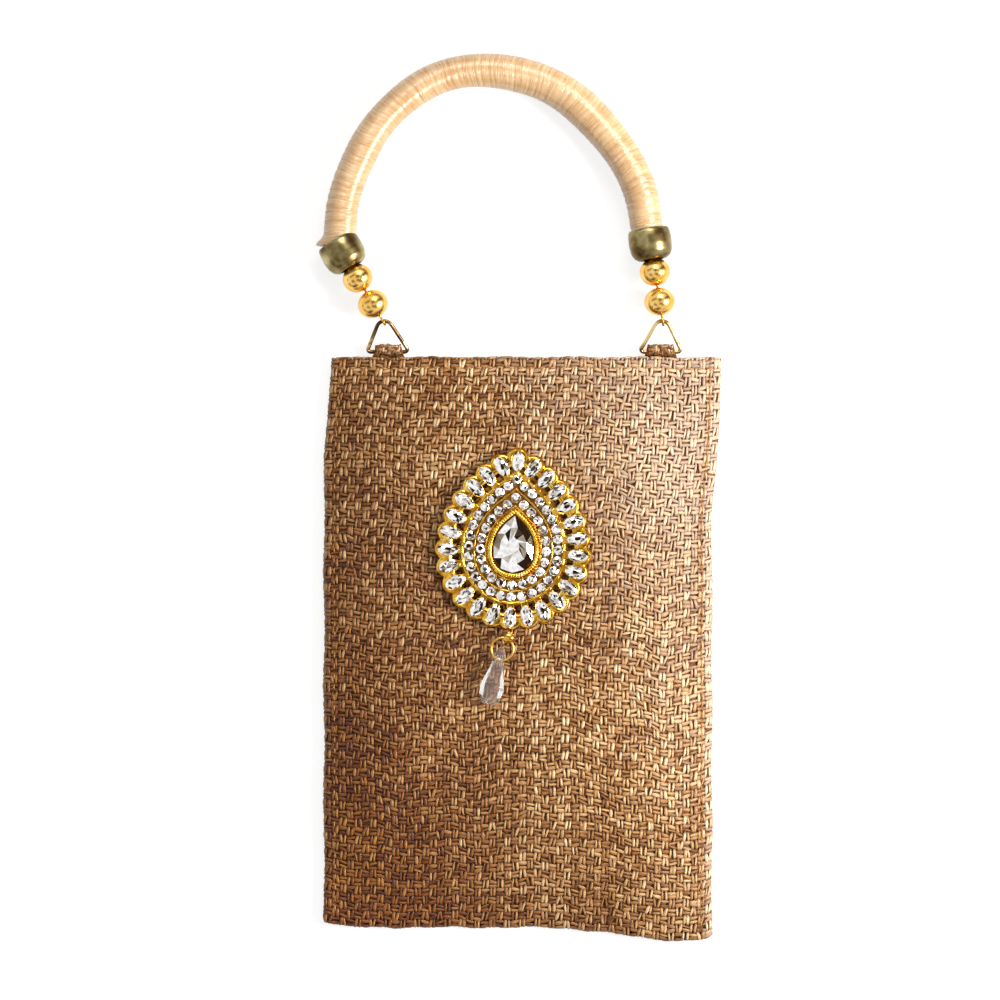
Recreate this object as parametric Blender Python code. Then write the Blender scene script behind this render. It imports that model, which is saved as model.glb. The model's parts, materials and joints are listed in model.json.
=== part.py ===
"""A jute clutch bag that lies on its back: a folded jute pouch with a lining, an arched silk-wound handle
on beads and rings, and a pear-shaped rhinestone brooch with a crystal pendant.

Frame: +X to the bag's right side as it is looked at, +Y towards the handle, +Z out of its front.
The origin is on the middle of the pouch's flat back, where it rests.
"""

import math

import bmesh
import bpy
from mathutils import Matrix, Vector

MM = 0.001
TAU = 2 * math.pi

# Gaps between neighbouring pieces
TOUCH = 0.3
WIRE_PLAY = 0.25

# Pouch, in millimetres
POUCH_WIDTH = 126.6
POUCH_TOP = 93.4
POUCH_BOTTOM = -91.8
CORNER_DROP = 5.0
CORNER_ROUND = 2.2
TOP_LEAN = 2.9
LEAN_START = 0.66
POUCH_DEPTH = 15.0
MOUTH_DEPTH = 10.6
SEAM_DEPTH = 3.4
SEAM_WIDTH = 3.6
EDGE_LIFT = 0.9
CROWN = 3.5
FILL_FROM_BOTTOM = 0.35
NECK_START = 0.74
JUTE_THICK = 1.2
RIDGE = 0.45
WEAVE_COLUMNS = 22
WEAVE_ROWS = 30
BACK_COLUMNS = 7
INNER_ROWS = 12
LINING_THICK = 0.6
LINING_BELOW_MOUTH = 2.0
LINING_COLUMNS = 12
LINING_INSIDE_SEAM = 4.5
LINING_PLAY = 0.45

# Magnetic snap inside the mouth
SNAP_RADIUS = 7.0
SNAP_THICK = 1.7
SNAP_BELOW_MOUTH = 12.5
STUD_RADIUS = 1.6
STUD_LENGTH = 0.9

# Tabs and triangular rings
RING_WIRE = 1.5
RING_WIDTH = 13.9
RING_CORNER = 0.9
RING_APEX_ROUND = 2.6
BAR_ABOVE_MOUTH = 1.9
BAR_HEIGHT = 3.8
APEX_ABOVE_MOUTH = 11.8
TAB_WIDTH = 10.2
TAB_TAPER = 0.22
TAB_THICK = 1.0
TAB_PLAY = 0.4
TAB_TAIL = 13.0
TAIL_GAP = 0.35
LEFT_RING_INSET = 18.0
LEFT_APEX_SHIFT = -1.6
RIGHT_RING_INSET = 19.6
RIGHT_APEX_SHIFT = 0.5

# Beads and eye wires
EYE_WIRE = 0.8
BEAD_DIAMETER = 10.0
BEAD_LENGTH = 9.2
BEAD_HOLE = 1.6
BEAD_PITCH = 9.8
LEFT_CHAIN_ANGLE = 30.4
RIGHT_CHAIN_ANGLE = 8.8

# End cups and handle
CUP_RADIUS = 7.1
CUP_LENGTH = 10.0
CUP_WALL = 0.8
CUP_MOUTH_RADIUS = 6.4
CUP_FOOT_RADIUS = 4.6
CUP_NEST = 0.5
ARCH_RADIUS = 49.8
ARCH_CENTRE_X = -8.0
ARCH_ABOVE_MOUTH = 43.2
WINDING_RADIUS = 5.4
WINDING_RIDGE = 0.4
WINDING_PITCH = 4.4
CORE_RADIUS = 3.6

# Brooch: each pear has a half width and a height from its centre to its tip
BROOCH_X = -1.6
BROOCH_Y = 30.0
BROOCH_LEAN = 2.9
PEAR_SHARPNESS = 1.45
MARQUISE_PEAR = (21.1, 29.6)
OUTER_ROW_PEAR = (14.5, 23.6)
INNER_ROW_PEAR = (10.6, 17.6)
BEZEL_PEAR = (7.6, 13.3)
CRYSTAL_PEAR = (6.4, 11.7)
MARQUISE_COUNT = 26
MARQUISE_LENGTH = 6.5
MARQUISE_WIDTH = 3.9
MARQUISE_HEIGHT = 2.2
OUTER_STONES = 30
INNER_STONES = 22
ROUND_STONE = 3.1
CHAIN_WIDTH = 1.7
STONE_HEIGHT = 2.4
CHAIN_HEIGHT = 1.0
PLATE_THICK = 0.9
SETTING_RIM = 0.75
BEZEL_WIDTH = 1.3
BEZEL_HEIGHT = 3.0
CRYSTAL_HEIGHT = 4.2

# Pendant
BAIL_RADIUS = 1.7
BAIL_WIRE = 0.9
JUMP_RING_RADIUS = 3.6
JUMP_RING_WIRE = 0.8
DROP_LENGTH = 18.9
DROP_WIDTH = 8.4
DROP_DEPTH = 5.2
DROP_HOLE = 2.2
DROP_HOLE_BELOW_TIP = 4.1
DROP_SIDES = 8
DROP_TILT = 14.0
# How far the jump ring hangs to the left of its bail, and the drop round it from straight down, in degrees
PENDANT_LEAN = 30.0
DROP_PLACE = 18.0


def clear_scene():
    """Removes what an opened file holds, so that the bag stands alone."""
    for item in list(bpy.data.objects):
        bpy.data.objects.remove(item, do_unlink=True)


def finish(name, colour, roughness, metallic=0.0, alpha=1.0):
    """A Principled material in the part's colour."""
    made = bpy.data.materials.new(name)
    made.use_nodes = True
    shader = made.node_tree.nodes["Principled BSDF"]
    shader.inputs["Base Color"].default_value = (*colour, 1.0)
    shader.inputs["Roughness"].default_value = roughness
    shader.inputs["Metallic"].default_value = metallic
    shader.inputs["Alpha"].default_value = alpha
    return made


def link(name, data, material, parent=None, place=None):
    """Puts a mesh or a curve into the scene as one named piece of the bag."""
    piece = bpy.data.objects.new(name, data)
    bpy.context.scene.collection.objects.link(piece)
    data.materials.append(material)
    piece.parent = parent
    if place is not None:
        piece.matrix_local = place
    return piece


def at(x, y, z):
    """A place in millimetres as a matrix in metres."""
    return Matrix.Translation(Vector((x, y, z)) * MM)


def leaned(degrees):
    """A turn about the vertical as a matrix, anticlockwise seen from above."""
    return Matrix.Rotation(math.radians(degrees), 4, "Z")


def empty(name, place, parent=None):
    """An empty on a joint's axis, which carries what moves with it."""
    carrier = bpy.data.objects.new(name, None)
    bpy.context.scene.collection.objects.link(carrier)
    carrier.parent = parent
    carrier.matrix_local = place
    return carrier


def close_mesh(name, build, smooth_angle=35.0):
    """Merges a bmesh's doubles, turns its faces outwards and gives it smooth shading with sharp edges."""
    bmesh.ops.remove_doubles(build, verts=build.verts, dist=1e-6)
    bmesh.ops.recalc_face_normals(build, faces=build.faces)
    mesh = bpy.data.meshes.new(name)
    build.to_mesh(mesh)
    build.free()
    mesh.shade_smooth()
    mesh.set_sharp_from_angle(angle=math.radians(smooth_angle))
    return mesh


def skin(name, loops, wrap, smooth_angle=35.0):
    """A closed skin over loops of equally many points, with its ends capped or joined to each other."""
    build = bmesh.new()
    rows = [[build.verts.new(Vector(point) * MM) for point in loop] for loop in loops]
    count = len(loops[0])
    pairs = list(zip(rows, rows[1:]))
    if wrap:
        pairs.append((rows[-1], rows[0]))
    for low, high in pairs:
        for i in range(count):
            j = (i + 1) % count
            build.faces.new((low[i], low[j], high[j], high[i]))
    if not wrap:
        build.faces.new(rows[0])
        build.faces.new(rows[-1])
    return close_mesh(name, build, smooth_angle)


def turned(name, profile, steps):
    """A solid of revolution about local Z, from a closed profile of (radius, height) points."""
    build = bmesh.new()
    points = [build.verts.new(Vector((radius, 0.0, height)) * MM) for radius, height in profile]
    edges = [build.edges.new((a, b)) for a, b in zip(points, points[1:] + points[:1])]
    bmesh.ops.spin(
        build, geom=points + edges, cent=(0, 0, 0), axis=(0, 0, 1), angle=TAU, steps=steps, use_merge=True
    )
    return close_mesh(name, build)


def wire(name, points, diameter, closed, resolution=2):
    """A round wire along points, as a bevelled curve with filled caps."""
    curve = bpy.data.curves.new(name, "CURVE")
    curve.dimensions = "3D"
    curve.bevel_depth = diameter / 2 * MM
    curve.bevel_resolution = resolution
    curve.use_fill_caps = True
    spline = curve.splines.new("POLY")
    spline.points.add(len(points) - 1)
    for slot, point in zip(spline.points, points):
        slot.co = (*(Vector(point) * MM), 1.0)
    spline.use_cyclic_u = closed
    return curve


def smoothstep(value):
    """Goes from 0 to 1 with level ends."""
    t = min(max(value, 0.0), 1.0)
    return t * t * (3 - 2 * t)


def spread(low, high, count):
    """Evenly spaced values from low to high, both included."""
    return [low + (high - low) * i / (count - 1) for i in range(count)]


def plan_x(u, v):
    """Where a point of the pouch lies across, with u from -1 to 1: the top leans to one side."""
    lean = max(0.0, (v - LEAN_START) / (1 - LEAN_START)) ** 1.6
    return u * POUCH_WIDTH / 2 + TOP_LEAN * lean


def plan_y(u, v):
    """Where a point lies along the pouch, with v from 0 at the fold to 1 at the mouth."""
    bottom = POUCH_BOTTOM - CORNER_DROP * smoothstep((u - 0.1) / 0.9) + CORNER_ROUND * abs(u) ** 16
    return bottom + v * (POUCH_TOP - bottom)


def fill(v):
    """How full the pouch is along its length: thin at the fold, full in the middle, lower at the mouth."""
    from_fold = 1 - max(0.0, 1 - v / FILL_FROM_BOTTOM) ** 2.5
    mouth_loss = (POUCH_DEPTH - MOUTH_DEPTH) / (POUCH_DEPTH - SEAM_DEPTH)
    to_mouth = 1 - mouth_loss * max(0.0, (v - NECK_START) / (1 - NECK_START)) ** 2
    return from_fold * to_mouth


def back_z(u, v):
    """The back lies flat and lifts a little at its side seams and fold."""
    side = max(0.0, (abs(u) - 0.8) / 0.2) ** 2
    fold = max(0.0, 1 - v / 0.06) ** 2
    return EDGE_LIFT * min(1.0, side + fold)


def front_z(u, v):
    """The front is a low crown between the side seams."""
    return back_z(u, v) + SEAM_DEPTH + (POUCH_DEPTH - SEAM_DEPTH) * fill(v) * (1 - abs(u) ** CROWN)


def pouch_loop(v, reach, inset, front_columns, back_columns, ridge_row=None):
    """One level loop round the pouch, inset from its outer faces, from u = -reach to reach and back."""
    loop = []
    for i, u in enumerate(spread(-reach, reach, front_columns)):
        ridge = 0.0
        if ridge_row is not None and 0 < i < front_columns - 1:
            ridge = RIDGE * (1 if (i + ridge_row) % 2 else -1)
        loop.append((plan_x(u, v), plan_y(u, v), front_z(u, v) - inset + ridge))
    for u in spread(reach, -reach, back_columns):
        loop.append((plan_x(u, v), plan_y(u, v), back_z(u, v) + inset))
    return loop


def height_share(above_fold):
    """The share of the pouch's length that a height above its fold is."""
    return above_fold / (POUCH_TOP - POUCH_BOTTOM)


def inner_reach(inset):
    """How far u runs inside the side seams."""
    return 1 - 2 * (SEAM_WIDTH + inset) / POUCH_WIDTH


def inner_levels():
    """The levels of the pocket inside the jute, close together at its fold and its mouth."""
    low = height_share(SEAM_WIDTH)
    turns = [math.pi * k / INNER_ROWS for k in range(INNER_ROWS + 1)]
    return [low + (1 - low) * (1 - math.cos(turn)) / 2 for turn in turns]


def jute_shell(material):
    """The jute: one folded piece with the basket weave as ridges on its front."""
    columns = WEAVE_COLUMNS + 1
    back = BACK_COLUMNS + 1
    rows = spread(0.0, 1.0, WEAVE_ROWS + 1)
    loops = []
    for j, v in enumerate(rows):
        ridge_row = j if 0 < j < WEAVE_ROWS else None
        loops.append(pouch_loop(v, 1.0, 0.0, columns, back, ridge_row))
    for v in reversed(inner_levels()):
        loops.append(pouch_loop(v, inner_reach(0.0), JUTE_THICK, columns, back))
    return link("jute_shell", skin("jute_shell", loops, wrap=False), material)


def lining(material):
    """The lining: one folded piece of cotton that hangs inside the jute."""
    top = 1 - height_share(LINING_BELOW_MOUTH)
    outer_inset = JUTE_THICK + LINING_PLAY
    inner_inset = outer_inset + LINING_THICK
    outer_reach = inner_reach(LINING_INSIDE_SEAM)
    pocket_reach = inner_reach(LINING_INSIDE_SEAM + LINING_THICK)
    levels = [v for v in inner_levels()[2:] if v < top] + [top]
    floor = levels[0] + height_share(LINING_THICK)
    outer = [
        pouch_loop(v, outer_reach, outer_inset, LINING_COLUMNS, LINING_COLUMNS)
        for v in levels
    ]
    inner = [
        pouch_loop(v, pocket_reach, inner_inset, LINING_COLUMNS, LINING_COLUMNS)
        for v in levels[:0:-1] + [floor]
    ]
    return link("lining", skin("lining", outer + inner, wrap=False), material)


def snap_halves(material):
    """The magnetic snap: a socket on the back lining and a studded half that faces it on the front."""
    y = POUCH_TOP - SNAP_BELOW_MOUTH
    v = height_share(y - POUCH_BOTTOM)
    x = plan_x(0.0, v)
    skins = JUTE_THICK + LINING_PLAY + LINING_THICK + TOUCH
    edge = 0.4
    socket_hole = STUD_RADIUS + TOUCH
    socket = [
        (socket_hole, 0.0),
        (SNAP_RADIUS, 0.0),
        (SNAP_RADIUS, SNAP_THICK - edge),
        (SNAP_RADIUS - edge, SNAP_THICK),
        (socket_hole, SNAP_THICK),
    ]
    stud = [
        (0.0, 0.0),
        (SNAP_RADIUS, 0.0),
        (SNAP_RADIUS, SNAP_THICK - edge),
        (SNAP_RADIUS - edge, SNAP_THICK),
        (STUD_RADIUS, SNAP_THICK),
        (STUD_RADIUS, SNAP_THICK + STUD_LENGTH),
        (0.0, SNAP_THICK + STUD_LENGTH),
    ]
    link("snap_socket", turned("snap_socket", socket, 14), material, place=at(x, y, back_z(0.0, v) + skins))
    low_u = SNAP_RADIUS / (POUCH_WIDTH / 2)
    low_v = v + height_share(SNAP_RADIUS)
    lowest_front = front_z(low_u, low_v)
    place = at(x, y, lowest_front - skins) @ Matrix.Rotation(math.pi, 4, "X")
    link("snap_stud", turned("snap_stud", stud, 14), material, place=place)


def hairpin(inner, thick, tail_gap, tail):
    """The side view of a strip that runs up, round a bar at the origin and down again, as (y, z) points."""
    outer = inner + thick
    turn = [math.radians(angle) for angle in range(-60, 241, 30)]
    half_gap = tail_gap / 2
    meets = inner + 1.4
    outside = [(outer * math.sin(a), outer * math.cos(a)) for a in turn]
    inside = [(inner * math.sin(a), inner * math.cos(a)) for a in reversed(turn)]
    far = half_gap + thick
    down = [(-meets, -far), (-tail, -far), (-tail, -half_gap), (-meets, -half_gap)]
    up = [(-meets, half_gap), (-tail, half_gap), (-tail, far), (-meets, far)]
    return outside + down + inside + up


def tab(name, x, bar_y, material):
    """A jute strip looped over a ring's bar, narrower between the ring's legs, its tails in the mouth."""
    inner = RING_WIRE / 2 + TAB_PLAY
    outer = inner + TAB_THICK
    side = hairpin(inner, TAB_THICK, TAIL_GAP, TAB_TAIL)
    near = [min(1.0, math.hypot(y, z) / outer) if y > -outer else 0.0 for y, z in side]
    narrow = [1 - TAB_TAPER * share for share in near]
    loops = [
        [(edge * share, y, z) for share, (y, z) in zip(narrow, side)]
        for edge in (-TAB_WIDTH / 2, TAB_WIDTH / 2)
    ]
    return link(name, skin(name, loops, wrap=False), material, place=at(x, bar_y, BAR_HEIGHT))


def rounded_triangle(width, height, apex_shift):
    """The centre line of a triangular ring that stands on its bar, with each corner an arc."""
    corners = [Vector((-width / 2, 0, 0)), Vector((width / 2, 0, 0)), Vector((apex_shift, height, 0))]
    points = []
    for k, tip in enumerate(corners):
        corner = RING_APEX_ROUND if k == 2 else RING_CORNER
        steps = 6 if k == 2 else 3
        before = (corners[k - 1] - tip).normalized()
        after = (corners[(k + 1) % 3] - tip).normalized()
        half = before.angle(after) / 2
        middle = tip + (before + after).normalized() * corner / math.sin(half)
        start = tip + before * corner / math.tan(half) - middle
        sweep = math.pi - 2 * half
        for i in range(steps + 1):
            points.append(middle + Matrix.Rotation(sweep * i / steps, 3, "Z") @ start)
    return points


def ring(name, carrier, height, apex_shift, material):
    """A triangular wire ring whose bar is the axis that it swings on."""
    sharp = height
    for _ in range(8):
        half_angle = math.atan(RING_WIDTH / 2 / sharp)
        sharp = height + RING_APEX_ROUND * (1 / math.sin(half_angle) - 1)
    points = rounded_triangle(RING_WIDTH, sharp, apex_shift)
    return link(name, wire(name, points, RING_WIRE, closed=True), material, parent=carrier)


def eye_wire(name, direction, length, frame, material):
    """A wire bent into an eye round the ring's apex, which then runs straight up through the beads."""
    radius = RING_WIRE / 2 + WIRE_PLAY + EYE_WIRE / 2
    points = []
    gap = 0.62
    for i in range(13):
        angle = gap + (TAU - gap) * i / 12
        points.append(Vector((0.0, 0.0, radius * math.sin(angle))) + direction * radius * math.cos(angle))
    points.append(direction * (radius + 1.0))
    points.append(direction * length)
    return link(name, wire(name, points, EYE_WIRE, closed=False, resolution=1), material, parent=frame)


def bead_profile():
    """A hollow-looking bead: a flattened ball with a round hole along its axis."""
    half = BEAD_LENGTH / 2
    hole = BEAD_HOLE / 2
    lip = hole + 0.35
    steep = math.asin(lip / (BEAD_DIAMETER / 2))
    outside = []
    for angle in spread(steep, math.pi - steep, 7):
        outside.append((BEAD_DIAMETER / 2 * math.sin(angle), half * math.cos(angle)))
    return [(hole, outside[0][1])] + outside + [(hole, outside[-1][1])]


def cup_profile():
    """An open barrel with a wide mouth for the handle and a narrower foot that the bead nests in."""
    half = CUP_LENGTH / 2
    outside = [
        (CUP_MOUTH_RADIUS, half),
        (CUP_RADIUS, half * 0.6),
        (CUP_RADIUS, -half * 0.1),
        (CUP_RADIUS * 0.9, -half * 0.6),
        (CUP_FOOT_RADIUS, -half),
    ]
    inside = [(radius - CUP_WALL, height) for radius, height in reversed(outside)]
    return outside + inside


def axis_place(centre, direction):
    """Puts local Z along a direction and the origin at a centre, both in millimetres."""
    return at(*centre) @ direction.to_track_quat("Z", "Y").to_matrix().to_4x4()


def chain(side, apex_x, degrees, frame, metals):
    """One side's eye wire, two beads and end cup, in a straight line up from the ring's apex."""
    direction = Vector((-math.sin(math.radians(degrees)), math.cos(math.radians(degrees)), 0.0))
    start = Vector((apex_x, 0.0, 0.0))
    eye_reach = RING_WIRE / 2 + WIRE_PLAY + EYE_WIRE
    first = eye_reach + BEAD_LENGTH / 2
    second = first + BEAD_PITCH
    cup = second + BEAD_LENGTH / 2 + CUP_LENGTH / 2 - CUP_NEST
    foot = empty(f"{side}_chain_foot", at(*start), frame)
    eye_wire(f"{side}_eye_wire", direction, cup, foot, metals["gold"])
    for name, reach in (("lower", first), ("upper", second)):
        place = axis_place(direction * reach, direction)
        link(f"{side}_{name}_bead", turned("bead", bead_profile(), 12), metals["bright"], foot, place)
    mesh = turned(f"{side}_cup", cup_profile(), 16)
    link(f"{side}_cup", mesh, metals["brass"], foot, axis_place(direction * cup, direction))
    rim = start + direction * (cup + CUP_LENGTH / 2 + TOUCH)
    return rim, direction


def arch_sections(rims, apex_y):
    """Centres and normals along the handle, from the left cup's rim over the arch to the right cup's."""
    centre = Vector((ARCH_CENTRE_X, POUCH_TOP + ARCH_ABOVE_MOUTH - apex_y, 0.0))
    (left_rim, left_way), (right_rim, right_way) = rims
    turns = round(math.pi * ARCH_RADIUS / WINDING_PITCH)
    sections = []
    for i in range(2 * turns + 1):
        angle = math.pi * (1 - i / (2 * turns))
        out = Vector((math.cos(angle), math.sin(angle), 0.0))
        sections.append((centre + out * ARCH_RADIUS, Vector((out.y, -out.x, 0.0))))
    steps = 3
    left_run = []
    right_run = []
    for i in range(steps):
        t = i / steps
        left_turn = left_way.lerp(sections[0][1], t).normalized()
        right_turn = (-right_way).lerp(sections[-1][1], t).normalized()
        left_run.append((left_rim.lerp(sections[0][0], t), left_turn))
        right_run.append((right_rim.lerp(sections[-1][0], t), right_turn))
    return left_run + sections + right_run[::-1]


def section_loop(centre, normal, radius, sides):
    """A circle of points round a section's centre, square to its normal."""
    side = Vector((0, 0, 1)).cross(normal)
    loop = []
    for i in range(sides):
        angle = TAU * (i + 0.5) / sides
        loop.append(centre + (side * math.cos(angle) + Vector((0, 0, 1)) * math.sin(angle)) * radius)
    return loop


def handle(rims, apex_y, frame, silk, rope):
    """The handle: a stiff rope core in a wound silk sleeve whose turns stand up as rings."""
    sections = arch_sections(rims, apex_y)
    bore = CORE_RADIUS + TOUCH
    sides = 8
    outside = []
    for i, (centre, normal) in enumerate(sections):
        ridge = WINDING_RIDGE if i % 2 else 0.0
        outside.append(section_loop(centre, normal, WINDING_RADIUS - ridge, sides))
    coarse = sections[::4]
    if coarse[-1] is not sections[-1]:
        coarse.append(sections[-1])
    inside = [section_loop(centre, normal, bore, sides) for centre, normal in reversed(coarse)]
    link("handle_winding", skin("handle_winding", outside + inside, wrap=True), silk, parent=frame)
    core = [section_loop(centre, normal, CORE_RADIUS, 6) for centre, normal in coarse]
    link("handle_core", skin("handle_core", core, wrap=False), rope, parent=frame)


def pear_point(pear, t):
    """A point of a pear outline at t from 0 to 1, from its tip clockwise: round below, drawn out above."""
    half_width, tip = pear
    angle = TAU * t
    height = math.cos(angle)
    sine = math.sin(angle)
    if height > 0:
        return Vector((half_width * math.copysign(abs(sine) ** PEAR_SHARPNESS, sine), tip * height, 0.0))
    return Vector((half_width * sine, half_width * height, 0.0))


def pear_path(pear, count, start=0.0):
    """Evenly spaced points round a pear, each with its outward normal."""
    fine = 720
    dense = [pear_point(pear, i / fine) for i in range(fine + 1)]
    reach = [0.0]
    for a, b in zip(dense, dense[1:]):
        reach.append(reach[-1] + (b - a).length)
    path = []
    k = 0
    for i in range(count):
        want = reach[-1] * (i + start) / count
        while reach[k + 1] < want:
            k += 1
        t = (want - reach[k]) / (reach[k + 1] - reach[k])
        along = (dense[(k + 4) % fine] - dense[(k - 3) % fine]).normalized()
        path.append((dense[k].lerp(dense[k + 1], t), Vector((-along.y, along.x, 0.0))))
    return path


def brooch_plate(frame, material):
    """The cast openwork frame: a scalloped plate with a gap between each two settings."""
    per_lobe = 6
    curve = bpy.data.curves.new("brooch_frame", "CURVE")
    curve.dimensions = "2D"
    curve.fill_mode = "BOTH"
    curve.extrude = PLATE_THICK / 2 * MM
    path = pear_path(MARQUISE_PEAR, MARQUISE_COUNT * per_lobe)
    lobe = MARQUISE_LENGTH / 2 + SETTING_RIM
    valley = 0.9
    outline = []
    for i, (point, normal) in enumerate(path):
        bulge = abs(math.cos(math.pi * i / per_lobe)) ** 0.8
        outline.append(point + normal * (valley + (lobe - valley) * bulge))
    outlines = [outline]
    inner = -lobe - 0.2
    gap_tip = -1.3
    gap_half = MARQUISE_WIDTH / 4
    for point, normal in pear_path(MARQUISE_PEAR, MARQUISE_COUNT, start=0.5):
        along = Vector((normal.y, -normal.x, 0.0))
        outlines.append([
            point + normal * inner + along * gap_half,
            point + normal * gap_tip,
            point + normal * inner - along * gap_half,
        ])
    for points in outlines:
        spline = curve.splines.new("POLY")
        spline.points.add(len(points) - 1)
        for slot, point in zip(spline.points, points):
            slot.co = (*(point * MM), 1.0)
        spline.use_cyclic_u = True
    link("brooch_frame", curve, material, frame, at(0, 0, PLATE_THICK / 2))


def marquise_stones(frame, material):
    """The marquise stones: boat-shaped, with a girdle and a flat table, each pointing outwards."""
    sides = 6
    levels = ((0.55, 0.0), (1.0, 0.4), (0.62, 1.0))
    for k, (point, normal) in enumerate(pear_path(MARQUISE_PEAR, MARQUISE_COUNT)):
        along = Vector((normal.y, -normal.x, 0.0))
        loops = []
        for scale, share in levels:
            loop = []
            for i in range(sides):
                angle = TAU * i / sides
                narrow = math.sin(angle) * abs(math.sin(angle)) ** 0.35
                out = normal * (math.cos(angle) * MARQUISE_LENGTH / 2 * scale)
                across = along * (narrow * MARQUISE_WIDTH / 2 * scale)
                loop.append(out + across + Vector((0, 0, share * MARQUISE_HEIGHT)))
            loops.append(loop)
        name = f"marquise_stone_{k + 1:02d}"
        place = at(point.x, point.y, PLATE_THICK + TOUCH)
        link(name, skin(name, loops, wrap=False, smooth_angle=15), material, frame, place)


def stone_row(name, pear, count, frame, material):
    """A cup chain bent round a pear: each stone stands wide and high, with a low link before the next."""
    per_stone = 3
    half_stone = ROUND_STONE / 2
    loops = []
    for i, (point, normal) in enumerate(pear_path(pear, count * per_stone, start=0.0)):
        stone = i % per_stone != 0
        wide = half_stone if stone else CHAIN_WIDTH / 2
        high = STONE_HEIGHT if stone else CHAIN_HEIGHT
        base = PLATE_THICK + TOUCH
        section = [(-wide, 0.0), (wide, 0.0), (wide, high * 0.5), (0.0, high), (-wide, high * 0.5)]
        loops.append([point + normal * out + Vector((0, 0, base + up)) for out, up in section])
    link(name, skin(name, loops, wrap=True, smooth_angle=15), material, frame)


def centre_stone(frame, gold, glass):
    """The pear-cut crystal and the textured bezel round it."""
    base = PLATE_THICK + TOUCH
    half = BEZEL_WIDTH / 2
    shoulder = BEZEL_HEIGHT * 0.6
    lip = BEZEL_HEIGHT * 0.9
    section = [(-half, 0.0), (half, 0.0), (half, shoulder), (0.0, BEZEL_HEIGHT), (-half, lip)]
    loops = []
    for point, normal in pear_path(BEZEL_PEAR, 28):
        loops.append([point + normal * out + Vector((0, 0, base + up)) for out, up in section])
    link("centre_bezel", skin("centre_bezel", loops, wrap=True), gold, frame)
    levels = ((0.45, 0.0), (1.0, 0.5), (0.6, 1.0))
    outline = [point for point, normal in pear_path(CRYSTAL_PEAR, 20)]
    loops = [
        [Vector((p.x * scale, p.y * scale, base + share * CRYSTAL_HEIGHT)) for p in outline]
        for scale, share in levels
    ]
    link("centre_crystal", skin("centre_crystal", loops, wrap=False, smooth_angle=15), glass, frame)


def circle(radius, steps, plane):
    """Points round a circle in the plane of two of the axes."""
    points = []
    for i in range(steps):
        point = Vector((0.0, 0.0, 0.0))
        point[plane[0]] = radius * math.cos(TAU * i / steps)
        point[plane[1]] = radius * math.sin(TAU * i / steps)
        points.append(point)
    return points


def crystal_drop(place, material):
    """The pendant: a long faceted drop, drilled from side to side through its neck."""
    half_w = DROP_WIDTH / 2
    half_d = DROP_DEPTH / 2
    levels = (
        (0.0, 0.22, 0.3),
        (0.12, 0.4, 0.6),
        (0.3, 0.52, 0.66),
        (0.7, 1.0, 1.0),
        (0.84, 0.94, 0.94),
        (1.0, 0.5, 0.5),
    )
    loops = []
    for share, wide, deep in levels:
        y = DROP_HOLE_BELOW_TIP - share * DROP_LENGTH
        loop = []
        for i in range(DROP_SIDES):
            angle = TAU * (i + 0.5) / DROP_SIDES
            loop.append((half_w * wide * math.cos(angle), y, half_d * deep * math.sin(angle)))
        loops.append(loop)
    faceted = skin("crystal_drop", loops, wrap=False, smooth_angle=10)
    drop = link("crystal_drop", faceted, material, place=place)
    hole = bpy.data.meshes.new("drop_hole")
    build = bmesh.new()
    radius = DROP_HOLE / 2 * MM
    through = DROP_WIDTH * 2 * MM
    bmesh.ops.create_cone(
        build, cap_ends=True, segments=10, radius1=radius, radius2=radius, depth=through
    )
    build.to_mesh(hole)
    build.free()
    cutter = bpy.data.objects.new("drop_hole", hole)
    bpy.context.scene.collection.objects.link(cutter)
    cutter.matrix_world = place @ Matrix.Rotation(math.pi / 2, 4, "Y")
    cutter.hide_render = True
    cutter.display_type = "WIRE"
    cut = drop.modifiers.new("drilled hole", "BOOLEAN")
    cut.operation = "DIFFERENCE"
    cut.object = cutter


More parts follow.
